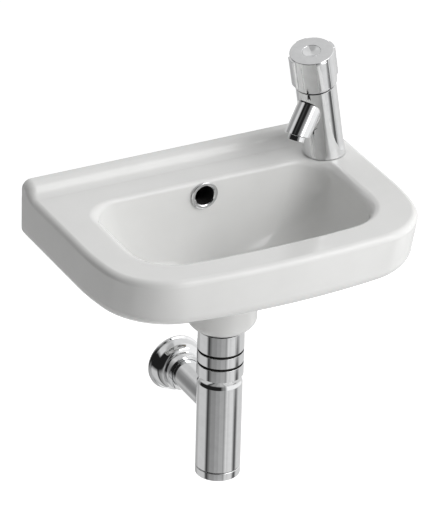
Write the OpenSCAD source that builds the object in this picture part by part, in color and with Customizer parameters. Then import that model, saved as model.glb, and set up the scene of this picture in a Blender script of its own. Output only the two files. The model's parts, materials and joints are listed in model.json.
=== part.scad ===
// Wall-hung hand basin with a leaning pillar tap, a push-open waste and a bottle trap.
// Frame: X runs right along the wall, Y into the wall, Z up.
// Origin: middle of the two wall bolts, on the wall face.

/* [Basin] */
// Width of the basin along the wall
basin_w = 360; // [340:1:420]
// Depth of the basin out from the wall
basin_d = 248; // [240:1:280]
// Height of the skirt below the rim
skirt_h = 55; // [50:1:64]
// Height of the rim above the wall bolts
rim_above_bolts = 75; // [68:1:82]
// Radius of the gentle bow of the front, at the rim
front_bow_r = 1150; // [900:10:2400]
// Radius of the same bow at the skirt's foot
foot_bow_r = 770; // [700:10:2400]
// Radius of the two front corners, at the rim
corner_r = 71; // [50:1:76]
// Radius of the same corners at the skirt's foot
foot_corner_r = 80; // [60:1:84]
// Radius of the curve at the front end of each side
side_bow_r = 280; // [240:5:400]
// Angle of the outline at which a side meets its corner, in degrees
side_turn = 80; // [76:1:83]
// Rounding between the deck and the skirt
rim_round = 7; // [4:0.5:9]
// Rounding of the lower edge of the skirt
skirt_round = 14.5; // [8:0.5:15]
// How far the skirt's front draws in from top to bottom
skirt_draft = 1.2; // [0:0.1:3]
// Thickness of the skirt at its foot
skirt_t = 17; // [16:0.5:20]
// Thickness of the deck
deck_t = 12; // [10:0.5:15]
// Thickness of the bowl's wall
bowl_t = 8.5; // [7:0.5:9]

/* [Ledge] */
// Height of the ledge along the wall
ledge_h = 13; // [8:0.5:20]
// Depth of the ledge, its cove included
ledge_d = 27; // [24:0.5:29]
// Rounding of the ledge's nose
ledge_nose_r = 10; // [7:0.5:12]
// Depth of the flat top of the ledge
ledge_flat = 6; // [3:0.5:8]
// Rounding of the ledge's two ends
ledge_end_r = 10; // [5:0.5:15]

/* [Bowl] */
// Width of the deck beside the bowl
deck_side = 48; // [46:0.5:58]
// Distance from the wall to the bowl's back
bowl_back = 57; // [54:0.5:60]
// Distance from the wall to the bowl's front
bowl_front = 208; // [196:1:212]
// Radius of the bowl's back corners
bowl_back_r = 32; // [28:1:44]
// Radius of the bowl's front corners
bowl_corner_r = 44; // [36:1:56]
// Depth of the bowl, from the deck to its floor
bowl_depth = 91; // [86:1:96]
// Rounding of the bowl's edge
bowl_round = 5; // [4:0.5:8]
// Squareness of the bowl's section, 2 is an ellipse
bowl_square = 2; // [1.8:0.1:2.4]

/* [Waste hole and boss] */
// Distance from the wall to the waste's axis
waste_back = 103; // [98:0.5:110]
// Radius of the hole for the waste
waste_hole_r = 22.5; // [22:0.1:23]
// Radius of the flat seat in the bowl's floor
waste_seat_r = 34; // [33:0.5:36]
// Depth of the seat below the bowl's floor
waste_seat_h = 2; // [1:0.5:3]
// Radius of the boss
boss_r = 37; // [34:0.5:40]
// Radius of the boss at its mouth
boss_mouth_r = 25.5; // [25:0.1:28]
// Height of the boss's rounded foot
boss_round = 12; // [8:0.5:14]
// Depth of the boss's mouth below the rim
boss_drop = 146.5; // [140:0.5:150]

/* [Overflow] */
// Depth of the overflow hole's middle below the rim
overflow_drop = 16.2; // [15:0.1:20]
// Radius of the overflow hole
overflow_r = 12; // [9:0.5:12]
// Radius of the duct that leads down to the boss
duct_r = 7.5; // [5:0.5:8]
// Distance from the wall to the duct's middle
duct_back = 33; // [31:0.5:34]
// Wall of the rib that holds the duct
duct_wall = 7; // [5:0.5:8]
// Outer radius of the chromed ring
ring_r = 15; // [14:0.1:16]
// Width of the ring's flange
ring_lip = 4; // [3:0.1:4.4]
// Wall of the ring's sleeve
ring_sleeve_t = 1.3; // [1:0.1:1.6]

/* [Wall fixing] */
// Distance between the two wall bolts
bolt_spacing = 180; // [160:1:190]
// Radius of each bolt hole
bolt_hole_r = 6; // [5:0.5:7]
// Thickness of the wall plate
plate_t = 14; // [12:0.5:16]
// Width of the plate below the skirt
plate_w = 236; // [220:1:244]
// How far the plate reaches below the bolts
plate_below = 23; // [18:1:30]

/* [Tap] */
// Distance from the basin's side to the tap's axis
tap_from_side = 36; // [34:0.5:40]
// Distance from the wall to the tap's axis
tap_back = 49.5; // [49:0.5:52]
// Direction in which the tap leans, from +X, in degrees
tap_turn = 208.6; // [200:0.1:230]
// Lean of the column, in degrees
tap_lean = 14; // [10:0.5:16]
// Radius of the column
column_r = 21.4; // [20.5:0.1:22]
// Radius at the column's foot
foot_r = 22.6; // [22:0.1:23]
// Length of the column along its axis
column_l = 92.4; // [90:0.1:100]
// Radius of the hole in the deck
tap_hole_r = 14; // [12:0.5:15]
// Radius of the threaded tail
tail_r = 10.48; // [10.3:0.01:10.6]
// Length of the tail below the deck's underside
tail_l = 40; // [36:1:41]
// Length of the tail's free end, for the supply hose
tail_end_l = 14; // [10:1:15]

/* [Spout] */
// Radius of the spout
spout_r = 13.4; // [12.5:0.1:14]
// Fall of the spout below the horizontal, in degrees
spout_fall = 47.4; // [44:0.2:50]
// Distance of the spout's axis from the column's top, along the column
spout_from_top = 13.5; // [12:0.1:16]
// Length of the spout from the column's axis to the middle of its mouth
spout_l = 49; // [46:0.1:56]
// Turn of the spout's mouth below the spout's own line, in degrees
mouth_turn = 17; // [8:1:20]
// Radius of the aerator's ring
aerator_r = 8.8; // [8.4:0.1:9.4]
// How far the aerator stands out of the mouth
aerator_out = 6.6; // [4:0.1:7]

/* [Handle] */
// Length of the handle
handle_l = 39.6; // [36:0.1:44]
// Radius of the handle
handle_r = 22.9; // [22:0.1:24]
// Radius over the handle's lugs
lug_r = 25; // [24.5:0.1:26]
// Width of a lug
lug_w = 12; // [8:0.5:14]
// Height of a lug's slanted lower end
lug_slope = 4; // [2:0.5:8]
// Number of lugs
lug_count = 4; // [3:1:6]
// Turn of the first lug from the lean, in degrees
lug_turn = 59; // [0:1:90]
// Radius of the index disc
index_r = 9.5; // [8:0.1:10.5]

/* [Waste fitting] */
// Radius of the waste's flange
flange_r = 32; // [31:0.5:32.5]
// Thickness of the flange
flange_t = 2.5; // [2:0.1:3]
// Thickness of the seal under the flange
seat_seal_t = 1.5; // [1:0.1:2]
// Radius of the waste's thread
waste_thread_r = 20.95; // [20.8:0.01:21]
// Radius of the waste's bore
waste_bore_r = 17.4; // [16.8:0.1:17.6]
// Radius of the button
plug_r = 19.4; // [19:0.1:19.6]
// How far the button rises when it is open
plug_travel = 8; // [5:0.5:10]
// Radius of the plug's stem
stem_r = 4; // [3.5:0.1:4.2]
// Outer radius of the click cartridge
barrel_r = 7.5; // [7:0.1:8]
// Mean radius of the click spring
spring_r = 2.7; // [2.5:0.1:2.8]
// Radius of the spring's wire
spring_wire_r = 0.4; // [0.3:0.05:0.45]
// Number of turns of the spring
spring_turns = 5; // [3:1:6]

/* [Trap] */
// Radius of the trap's nuts
nut_r = 24.6; // [24.2:0.1:26]
// Radius of the trap's bottle
bottle_r = 23.9; // [23.6:0.1:25]
// Wall of the bottle
bottle_t = 1.5; // [1.2:0.1:2]
// Depth of the bottle's shoulder below the rim
bottle_top = 202.3; // [201:0.1:206]
// Depth of the cap's joint below the rim
cap_joint = 311.2; // [300:0.1:330]
// Height of the bottom cap
cap_h = 9.8; // [8:0.1:14]
// Outer radius of the pipes
pipe_r = 16; // [15.8:0.1:16.2]
// Wall of the pipes
pipe_t = 1; // [0.8:0.1:1.5]
// Depth of the outlet's axis below the rim
outlet_drop = 243.4; // [236:0.1:250]
// How far the outlet pipe reaches into the wall
outlet_in_wall = 18; // [12:1:50]
// Depth of water that closes the trap
seal_depth = 42; // [30:1:46]
// Radius of the wall rosette
rosette_r = 31.5; // [29:0.1:36]
// Depth of the rosette out from the wall
rosette_d = 27; // [22:0.5:32]
// Radius of the rosette's neck
rosette_neck_r = 20.5; // [19:0.1:22]

/* [Hidden] */
$fn = 96;

china = [0.93, 0.93, 0.92];
chrome = [0.78, 0.79, 0.80];
brass = [0.78, 0.63, 0.36];
rubber = [0.12, 0.12, 0.12];
plastic = [0.85, 0.85, 0.83];
steel = [0.70, 0.71, 0.72];

// Clearances: between moving pieces, round a running shaft, in a screwed or pushed fit, round a pipe
gap = 0.35;
running = 0.05;
thread_gap = 0.1;
pipe_gap = 0.2;
// Overshoot of a cut past the face that it opens
cut = 1;

bowl_w = basin_w - 2 * deck_side;
tap_x = basin_w / 2 - tap_from_side;
spout_root = column_l - spout_from_top;
tap_y = -tap_back;

// Stations on half an outline, from the middle of the back round to the middle of the front
back_steps = 6;
side_steps = 12;
bend_steps = 4;
corner_steps = 10;
bow_steps = 4;
half_steps = back_steps + side_steps + bend_steps + corner_steps + bow_steps;

function mix(a, b, t) = a + (b - a) * t;
function arc_point(centre, r, turn) = [centre.x + r * sin(turn), centre.y - r * cos(turn)];

// Front half of a D-shaped outline: three arcs that meet smoothly, then the straight side
function front_arcs(half_w, front, bow, corner, bend, turn) =
    let (
        first = asin((half_w - bend - (corner - bend) * sin(turn)) / (bow - corner)),
        bow_c = [0, front + bow],
        corner_c = arc_point(bow_c, bow - corner, first),
        bend_c = arc_point(corner_c, corner - bend, turn)
    )
    [
        for (k = [0 : bend_steps - 1]) arc_point(bend_c, bend, mix(90, turn, k / bend_steps)),
        for (k = [0 : corner_steps - 1]) arc_point(corner_c, corner, mix(turn, first, k / corner_steps)),
        for (k = [0 : bow_steps]) arc_point(bow_c, bow, mix(first, 0, k / bow_steps))
    ];

// Half of the rim's outline, drawn in by off, with its back at y = back; foot is 0 at the rim, 1 at the foot
function rim_half(off, back, foot) =
    let (
        side_x = basin_w / 2 - off,
        bow = mix(front_bow_r, foot_bow_r, foot) - off,
        corner = mix(corner_r, foot_corner_r, foot) - off,
        front = front_arcs(side_x, off + skirt_draft * foot - basin_d, bow, corner, side_bow_r - off, side_turn)
    )
    [
        for (k = [0 : back_steps - 1]) [side_x * k / back_steps, back],
        for (k = [0 : side_steps - 1]) [side_x, mix(back, front[0].y, k / side_steps)],
        for (p = front) p
    ];

// How much the curve at the end of the bowl's sides is wider than its corner
bowl_bend_more = 60;

// Half of the bowl's outline, grown by out
function bowl_half(out) =
    let (
        half_w = bowl_w / 2 + out,
        back = out - bowl_back,
        back_corner = bowl_back_r + out,
        corner = bowl_corner_r + out,
        bend = corner + bowl_bend_more,
        front = front_arcs(half_w, -bowl_front - out, front_bow_r + out, corner, bend, side_turn),
        arc_steps = side_steps / 2,
        arc_c = [half_w - back_corner, back - back_corner]
    )
    [
        for (k = [0 : back_steps - 1]) [arc_c.x * k / back_steps, back],
        for (k = [0 : arc_steps - 1]) arc_point(arc_c, back_corner, 180 - 90 * k / arc_steps),
        for (k = [0 : arc_steps - 1]) [half_w, mix(arc_c.y, front[0].y, k / arc_steps)],
        for (p = front) p
    ];

// Half of a circle round the waste, with its points in the directions of the bowl's outline
function waste_half(r) = [
    for (p = bowl_half(0))
        let (way = p - [0, -waste_back]) [0, -waste_back] + way * r / norm(way)
];

function whole_ring(half, z) = [
    for (p = half) [p.x, p.y, z],
    for (k = [half_steps - 1 : -1 : 1]) [-half[k].x, half[k].y, z]
];
function mixed_ring(a, b, t, z) =
    whole_ring([for (k = [0 : half_steps]) mix(a[k], b[k], t)], z);

// Inward share and fall of the bowl's section at an angle from its edge
function bowl_share(turn) = 1 - pow(cos(turn), 2 / bowl_square);
function bowl_fall(turn) = pow(sin(turn), 2 / bowl_square);

bowl_angles = [0, 14, 24, 34, 44, 54, 63, 71, 78, 84, 90];
round_angles = [0, 22.5, 45, 67.5, 90];
seat_edge = 2;
floor_r = waste_seat_r + seat_edge;
under_floor_r = floor_r + bowl_t - 1;
boss_top = bowl_depth + bowl_t;
seat_z = -bowl_depth - waste_seat_h;

// Neck of the boss below the bowl, as shares of its inward step and of its height, and the rounded foot
neck_h = 9;
neck_shape = [[0.55, 0.15], [0.85, 0.45], [1, 1]];
foot_curve = 1.5;
foot_shape = [1, 0.7, 0.45, 0.25, 0.1, 0.03, 0];
function foot_r(u) = mix(boss_mouth_r, boss_r, pow(1 - pow(1 - u, foot_curve), 1 / foot_curve));

function bowl_rings() =
    let (
        top = bowl_half(0),
        bottom = waste_half(floor_r),
        drop = bowl_depth - bowl_round
    )
    [
        whole_ring(waste_half(waste_hole_r / 2), seat_z),
        whole_ring(waste_half(waste_seat_r), seat_z),
        for (k = [len(bowl_angles) - 1 : -1 : 0])
            mixed_ring(top, bottom, bowl_share(bowl_angles[k]), -bowl_round - drop * bowl_fall(bowl_angles[k])),
        for (k = [1 : len(round_angles) - 1])
            let (turn = round_angles[k])
                whole_ring(bowl_half(bowl_round * (1 - cos(turn))), bowl_round * (sin(turn) - 1))
    ];

// Slope of the skirt's inner face, and the rounding between that face and the deck's underside
inner_slope = 2;
inner_round = 3;

function skirt_rings() = [
    for (turn = round_angles)
        whole_ring(rim_half(rim_round * (1 - sin(turn)), 0, 0), rim_round * (cos(turn) - 1)),
    for (turn = round_angles)
        whole_ring(rim_half(skirt_round * (1 - cos(turn)), 0, 1), -skirt_h + skirt_round * (1 - sin(turn))),
    whole_ring(rim_half(skirt_t, -plate_t, 1), -skirt_h),
    whole_ring(rim_half(skirt_t - inner_slope, -plate_t, 1), -deck_t - inner_round),
    whole_ring(rim_half(skirt_t - inner_slope + inner_round, -plate_t - inner_round, 1), -deck_t)
];

function under_rings() =
    let (
        top = bowl_half(bowl_t),
        bottom = waste_half(under_floor_r),
        drop = boss_top - deck_t
    )
    [
        for (turn = bowl_angles)
            mixed_ring(top, bottom, bowl_share(turn), -deck_t - drop * bowl_fall(turn)),
        for (row = neck_shape)
            whole_ring(waste_half(mix(under_floor_r, boss_r, row[0])), -boss_top - neck_h * row[1]),
        for (u = foot_shape)
            whole_ring(waste_half(foot_r(u)), boss_round * u - boss_drop)
    ];

// Closed skin through rings of equal length, from the first, capped, to the last, capped
module ring_skin(rings) {
    n = len(rings[0]);
    m = len(rings);
    points = [for (ring = rings) for (p = ring) p];
    sides = [
        for (j = [0 : m - 2])
            for (i = [0 : n - 1])
                let (a = j * n + i, b = j * n + (i + 1) % n)
                    for (face = [[a, a + n, b + n], [a, b + n, b]]) face
    ];
    first = [for (i = [0 : n - 1]) i];
    last = [for (i = [n - 1 : -1 : 0]) (m - 1) * n + i];
    polyhedron(points, concat([first], sides, [last]), convexity = 12);
}

module at_rim() { translate([0, 0, rim_above_bolts]) children(); }
module at_waste() { translate([0, -waste_back, rim_above_bolts]) children(); }
module at_tap() { translate([tap_x, tap_y, rim_above_bolts]) children(); }
module on_column() { at_tap() rotate([0, 0, tap_turn]) rotate([0, tap_lean, 0]) children(); }
module on_spout() {
    on_column() translate([0, 0, spout_root]) rotate([0, 90 + spout_fall - tap_lean, 0]) children();
}
module on_mouth() { on_spout() translate([0, 0, spout_l]) rotate([0, mouth_turn, 0]) children(); }
module at_outlet() { translate([0, 0, rim_above_bolts - outlet_drop]) rotate([-90, 0, 0]) children(); }

// Ring or tube about Z, from z = low to z = high
module tube(low, high, outer, inner) {
    translate([0, 0, low]) difference() {
        cylinder(h = high - low, r = outer);
        translate([0, 0, -cut]) cylinder(h = high - low + 2 * cut, r = inner);
    }
}
module bore(low, high, r) { translate([0, 0, low]) cylinder(h = high - low, r = r); }

// Section of the ledge: a flat top, a round nose and a hollow cove down to just below the deck
sunk = 0.15;
module ledge_section() {
    nose = [-ledge_flat, ledge_h - ledge_nose_r];
    reach = ledge_d - ledge_flat;
    rise = nose.y + sunk;
    cove_r = (reach * reach + rise * rise - ledge_nose_r * ledge_nose_r) / (2 * (ledge_nose_r + rise));
    cove = [-ledge_d, cove_r - sunk];
    meet = nose + (cove - nose) * ledge_nose_r / norm(cove - nose);
    root = -deck_t / 2;
    translate([-ledge_flat, root]) square([ledge_flat, ledge_h - root]);
    translate(nose) circle(r = ledge_nose_r);
    difference() {
        polygon([[-ledge_d, root], [0, root], nose, meet, [-ledge_d, meet.y]]);
        translate(cove) circle(r = cove_r);
    }
}

ledge_inset = 0.2;
module ledge() {
    side = basin_w / 2 - ledge_inset;
    intersection() {
        rotate([90, 0, 90]) translate([0, 0, -side]) linear_extrude(2 * side) ledge_section();
        rotate([90, 0, 0]) linear_extrude(ledge_d + cut) {
            translate([-side, -deck_t]) square([2 * side, deck_t + ledge_h - ledge_end_r]);
            translate([ledge_end_r - side, 0]) square([2 * (side - ledge_end_r), ledge_h]);
            for (end = [-1, 1])
                translate([end * (side - ledge_end_r), ledge_h - ledge_end_r]) circle(r = ledge_end_r);
        }
    }
}

// Plate behind the bowl that the wall bolts go through
module wall_plate() {
    plate_r = 20;
    high = skirt_h - deck_t / 2;
    low = rim_above_bolts + plate_below;
    rotate([90, 0, 0]) linear_extrude(plate_t) {
        translate([-plate_w / 2, plate_r - low]) square([plate_w, low - plate_r - skirt_h + high]);
        translate([plate_r - plate_w / 2, -low]) square([plate_w - 2 * plate_r, plate_r * 2]);
        for (end = [-1, 1]) translate([end * (plate_w / 2 - plate_r), plate_r - low]) circle(r = plate_r);
    }
}

// The duct's way into the boss: its depth, its radius, and the sump under it
slot_share = 0.42;
slot_drop = mix(boss_top, boss_drop, slot_share);
slot_r = duct_r - 1.5;
sump = 1;
duct_low = -slot_drop - slot_r - sump;

// Rib at the back of the bowl: its front follows the middle of the bowl's back wall
module duct_rib() {
    back_y = [for (turn = bowl_angles) mix(-bowl_back, floor_r - waste_back, bowl_share(turn)) + bowl_t / 2];
    fall = [for (turn = bowl_angles) -bowl_round - (bowl_depth - bowl_round) * bowl_fall(turn)];
    last = len(bowl_angles) - 2;
    low = duct_low - duct_wall;
    into_boss = 5;
    reach = waste_hole_r + into_boss - waste_back;
    heel = duct_r + duct_wall - duct_back;
    width = 2 * (duct_r + duct_wall);
    translate([-width / 2, 0, 0]) rotate([90, 0, 90]) linear_extrude(width)
        polygon([
            [-plate_t / 2, -bowl_round],
            for (k = [0 : last]) [back_y[k], fall[k]],
            [floor_r - waste_back - bowl_t / 2, -bowl_depth - bowl_t / 2],
            [reach, -boss_top],
            [reach, low],
            [heel - duct_wall, low],
            [-plate_t / 2, bowl_t - bowl_depth]
        ]);
}

module basin_body() {
    through = 6;
    color(china) at_rim() difference() {
        union() {
            ring_skin(concat(bowl_rings(), skirt_rings(), under_rings()));
            ledge();
            wall_plate();
            duct_rib();
        }
        translate([0, -waste_back, -boss_drop - cut])
            cylinder(h = boss_drop - bowl_depth + 2 * cut, r = waste_hole_r);
        translate([tap_x, tap_y, -deck_t - cut]) cylinder(h = deck_t + 2 * cut, r = tap_hole_r);
        for (end = [-1, 1])
            translate([end * bolt_spacing / 2, cut, -rim_above_bolts])
                rotate([90, 0, 0]) cylinder(h = plate_t + 2 * cut, r = bolt_hole_r);
        translate([0, -duct_back, -overflow_drop])
            rotate([90, 0, 0]) cylinder(h = bowl_back - duct_back + through, r = overflow_r);
        translate([0, -duct_back, duct_low])
            cylinder(h = overflow_r / 2 - overflow_drop - duct_low, r = duct_r);
        translate([0, -duct_back, -slot_drop])
            rotate([90, 0, 0]) cylinder(h = waste_back - duct_back - waste_hole_r + through, r = slot_r);
    }
}

module overflow_ring() {
    lip_t = 2;
    lip_low = 1.2;
    lip_middle = lip_low + lip_t / 2;
    sleeve_l = 12;
    sleeve_r = overflow_r - thread_gap;
    bore_r = ring_r - ring_lip;
    tab_w = 3;
    tab_in = 2.5;
    color(chrome) translate([0, -bowl_back, rim_above_bolts - overflow_drop]) rotate([90, 0, 0]) {
        rotate_extrude() {
            translate([bore_r, lip_low]) square([ring_r - bore_r - lip_t / 2, lip_t]);
            translate([ring_r - lip_t / 2, lip_middle]) circle(r = lip_t / 2, $fn = 32);
            translate([sleeve_r - ring_sleeve_t, -sleeve_l]) square([ring_sleeve_t, sleeve_l + lip_middle]);
        }
        for (turn = [45 : 90 : 315]) rotate([0, 0, turn])
            translate([bore_r - tab_in, -tab_w / 2, -tab_w])
                cube([tab_in + ring_sleeve_t / 2, tab_w, tab_w + lip_middle]);
    }
}

flange_low = seat_z + seat_seal_t;
flange_top = flange_low + flange_t;
dish_r = plug_r + 0.6;
dish_low = flange_low - 1;
cross_top = seat_z - 12;
cross_h = 6;
cross_r = barrel_r + 3;
tail_below_boss = 29.5;
waste_tail_z = -boss_drop - tail_below_boss;

module waste_body() {
    slot_h = 16;
    slot_w = 10;
    wall = waste_thread_r - waste_bore_r;
    edge = 0.8;
    taper = 3;
    web_t = 3;
    web_l = 2 * waste_bore_r + wall / 2;
    color(chrome) at_waste() {
        difference() {
            union() {
                bore(flange_low, flange_top - edge, flange_r);
                translate([0, 0, flange_top - edge]) cylinder(h = edge, r1 = flange_r, r2 = flange_r - edge);
                bore(waste_tail_z, flange_low + edge, waste_thread_r);
            }
            bore(dish_low, flange_top + cut, dish_r);
            translate([0, 0, dish_low - taper]) cylinder(h = taper + running, r1 = waste_bore_r, r2 = dish_r);
            bore(waste_tail_z - cut, flange_low, waste_bore_r);
            for (turn = [45 : 90 : 315]) rotate([0, 0, turn])
                translate([waste_bore_r - wall / 2, -slot_w / 2, -slot_drop - slot_h / 2])
                    cube([2 * wall, slot_w, slot_h]);
        }
        difference() {
            union() {
                bore(cross_top - cross_h, cross_top, cross_r);
                for (turn = [0, 90]) rotate([0, 0, turn])
                    translate([-web_l / 2, -web_t / 2, cross_top - cross_h]) cube([web_l, web_t, cross_h]);
            }
            bore(cross_top - cross_h - cut, cross_top + cut, barrel_r + running);
        }
    }
}

module waste_seat_seal() {
    inset = 1.5;
    color(rubber) at_waste() tube(seat_z, seat_z + seat_seal_t, flange_r - inset, waste_thread_r + pipe_gap);
}

under_seal_t = 1.2;
module waste_under_seal() {
    color(rubber) at_waste()
        tube(-boss_drop - under_seal_t, -boss_drop, nut_r - gap, waste_thread_r + thread_gap);
}

backnut_top = -boss_drop - under_seal_t;
groove_h = 4.8;
groove_in = 1.3;
union_top = -171.4;
body_nut_top = -186;
nut_gap = 0.2;
nut_edge = 0.4;

// Round nut with chamfered edges and a plain bore
module round_nut(low, high, outer, inner) {
    edge = nut_edge;
    difference() {
        union() {
            bore(low + edge, high - edge, outer);
            translate([0, 0, low]) cylinder(h = edge, r1 = outer - edge, r2 = outer);
            translate([0, 0, high - edge]) cylinder(h = edge, r1 = outer, r2 = outer - edge);
        }
        bore(low - cut, high + cut, inner);
    }
}

module waste_backnut() {
    color(chrome) at_waste() round_nut(union_top + nut_gap, backnut_top, nut_r, waste_thread_r + thread_gap);
}

plug_top = flange_top - 0.4;
plug_t = 3;
barrel_head_t = 2;
barrel_floor_t = 2;
barrel_top = cross_top + barrel_head_t;
barrel_l = 30;
// Length of the stem that stays in the cartridge when the plug is open
stem_guide = 10;
stem_low = barrel_top - plug_travel - stem_guide;
cap_pin_r = stem_r / 2;

module click_barrel() {
    head_out = 1.8;
    color(brass) at_waste() difference() {
        union() {
            bore(barrel_top - barrel_l, cross_top, barrel_r);
            bore(cross_top, barrel_top, barrel_r + head_out);
        }
        bore(barrel_top - barrel_l + barrel_floor_t, barrel_top + cut, stem_r + running);
    }
}

// Spring under the stem: an open coil from the cartridge's floor to the stem's end
module click_spring() {
    low = barrel_top - barrel_l + barrel_floor_t + spring_wire_r + running;
    high = stem_low - spring_wire_r - running;
    turn_steps = 8;
    rings = spring_turns * turn_steps;
    sides = 6;
    function way(k) = k * 360 / turn_steps;
    function middle(k) = [spring_r * cos(way(k)), spring_r * sin(way(k)), mix(low, high, k / rings)];
    function around(k, s) = middle(k) + spring_wire_r * [
        cos(s) * cos(way(k)), cos(s) * sin(way(k)), sin(s)
    ];
    coil = [
        for (k = [0 : rings]) [for (s = [0 : sides - 1]) around(k, -s * 360 / sides)]
    ];
    color(steel) at_waste() ring_skin(coil);
}

module plug_stem() {
    color(brass) at_waste() {
        bore(stem_low, plug_top - plug_t, stem_r);
        bore(plug_top - plug_t, plug_top - plug_t / 2, cap_pin_r);
    }
}

module plug_cap() {
    edge = 1;
    color(chrome) at_waste() difference() {
        union() {
            bore(plug_top - plug_t, plug_top - edge, plug_r);
            translate([0, 0, plug_top - edge]) cylinder(h = edge, r1 = plug_r, r2 = plug_r - 2 * edge);
        }
        bore(plug_top - plug_t - cut, plug_top - plug_t / 2 + running, cap_pin_r + running);
    }
}

module plug_seal() {
    seal_t = 1.6;
    inset = 0.6;
    top = plug_top - plug_t;
    color(rubber) at_waste() tube(top - seal_t, top, waste_bore_r - inset, stem_r + thread_gap);
}

base_seal_t = 0.8;
chamber_r = 13.4;
chamber_low = 43;
headwork_out = 5.5;
headwork_top = column_l + headwork_out;
disc_r = 8;
seal_w = 3;
inlet_r = disc_r - seal_w / 2;
tail_into_tap = 13;
aerator_sleeve_l = 6.5;
aerator_sleeve_r = aerator_r - 1;

module tap_body() {
    foot_l = 14;
    foot_low = -12;
    edge = 0.8;
    spout_wall = 3.6;
    mouth_collar = aerator_sleeve_l + spout_wall;
    across_mouth = 4 * spout_r;
    inlet_low = 10;
    on_all_sides = 3 * column_r;
    color(chrome) difference() {
        union() {
            intersection() {
                on_column() {
                    translate([0, 0, foot_low])
                        cylinder(h = foot_l - foot_low, r1 = mix(column_r, foot_r, 1.5), r2 = column_r);
                    bore(foot_l, column_l - edge, column_r);
                    translate([0, 0, column_l - edge]) cylinder(h = edge, r1 = column_r, r2 = column_r - edge);
                }
                at_tap() translate([-on_all_sides, -on_all_sides, base_seal_t])
                    cube([2 * on_all_sides, 2 * on_all_sides, column_l + column_r]);
            }
            difference() {
                on_spout() cylinder(h = spout_l + spout_r, r = spout_r);
                on_mouth() translate([-across_mouth / 2, -across_mouth / 2, 0]) cube(across_mouth);
            }
        }
        on_column() {
            bore(inlet_low, chamber_low + cut, inlet_r);
            bore(chamber_low, column_l + cut, chamber_r);
        }
        on_spout() bore(0, spout_l - mouth_collar, spout_r - spout_wall);
        on_mouth() bore(-mouth_collar - spout_wall, cut, aerator_sleeve_r + thread_gap);
        at_tap() bore(base_seal_t - cut, base_seal_t + tail_into_tap + cut, tail_r + thread_gap);
    }
}

module tap_base_seal() {
    inset = 1.2;
    color(rubber) at_tap() tube(0, base_seal_t, foot_r - inset, tail_r + gap);
}

rubber_washer_t = 2;
metal_washer_t = 1.5;
backnut_t = 8;
washer_r = tap_hole_r + 3;

module tap_tail() {
    groove_h = 2;
    groove_in = 0.6;
    tail_bore_r = 6;
    tail_low = -deck_t - tail_l;
    tail_top = base_seal_t + tail_into_tap;
    groove_low = tail_low + tail_end_l;
    color(brass) at_tap() difference() {
        union() {
            bore(tail_low, groove_low, tail_r);
            bore(groove_low, groove_low + groove_h, tail_r - groove_in);
            bore(groove_low + groove_h, tail_top, tail_r);
        }
        bore(tail_low - cut, tail_top + cut, tail_bore_r);
    }
}

module tap_rubber_washer() {
    color(rubber) at_tap() tube(-deck_t - rubber_washer_t, -deck_t, washer_r, tail_r + thread_gap);
}

module tap_metal_washer() {
    top = -deck_t - rubber_washer_t;
    color(steel) at_tap() tube(top - metal_washer_t, top, washer_r, tail_r + thread_gap);
}

module tap_backnut() {
    top = -deck_t - rubber_washer_t - metal_washer_t;
    flats = 27;
    color(brass) at_tap() difference() {
        translate([0, 0, top - backnut_t]) cylinder(h = backnut_t, r = flats / 2 / cos(30), $fn = 6);
        bore(top - backnut_t - cut, top + cut, tail_r + thread_gap);
    }
}

disc_t = 3;
fixed_low = chamber_low + seal_w;
turning_low = fixed_low + disc_t + gap;
dog_low = turning_low + disc_t;
dog_t = 4;
spindle_r = 4;
spindle_out = 24;
spindle_top = column_l + spindle_out;

module headwork() {
    barrel = disc_r + 2.2;
    collar_low = spout_root + 6;
    hexagon_r = 12;
    window_w = 6;
    window_h = 5;
    window_low = turning_low + 1;
    color(brass) on_column() difference() {
        union() {
            bore(fixed_low, collar_low, barrel);
            bore(collar_low, column_l, chamber_r - thread_gap);
            translate([0, 0, column_l]) cylinder(h = headwork_out, r = hexagon_r, $fn = 6);
        }
        bore(fixed_low - cut, dog_low + dog_t + 1, disc_r + running);
        bore(dog_low, headwork_top + cut, spindle_r + running);
        for (turn = [0, 180]) rotate([0, 0, turn])
            translate([inlet_r, -window_w / 2, window_low]) cube([barrel, window_w, window_h]);
    }
}

module headwork_seal() {
    color(rubber) on_column() tube(chamber_low, fixed_low, inlet_r + seal_w, inlet_r);
}

// Ceramic disc with two ports
module valve_disc(low, turn) {
    port_r = 2.35;
    on_column() difference() {
        bore(low, low + disc_t, disc_r);
        for (side = [0, 180]) rotate([0, 0, turn + side])
            translate([disc_r / 2, 0, low - cut]) cylinder(h = disc_t + 2 * cut, r = port_r);
    }
}

module fixed_disc() { color(china) valve_disc(fixed_low, 0); }
module turning_disc() { color(china) valve_disc(turning_low, 90); }

screw_r = 2;
screw_head_r = 4.6;
screw_l = 10;
module spindle() {
    screw_deep = screw_l + 2;
    color(brass) on_column() difference() {
        union() {
            bore(dog_low, dog_low + dog_t, disc_r - gap);
            bore(dog_low + dog_t, spindle_top, spindle_r);
        }
        bore(spindle_top - screw_deep, spindle_top + cut, screw_r + thread_gap);
    }
}

handle_low = column_l + gap;
handle_top = column_l + handle_l;
handle_wall = 3.4;
cup_r = handle_r - handle_wall;
cup_top = spindle_top + 0.5;
cap_t = 4;
index_low = handle_top - cap_t;
pocket_low = index_low - 4.5;

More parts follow.
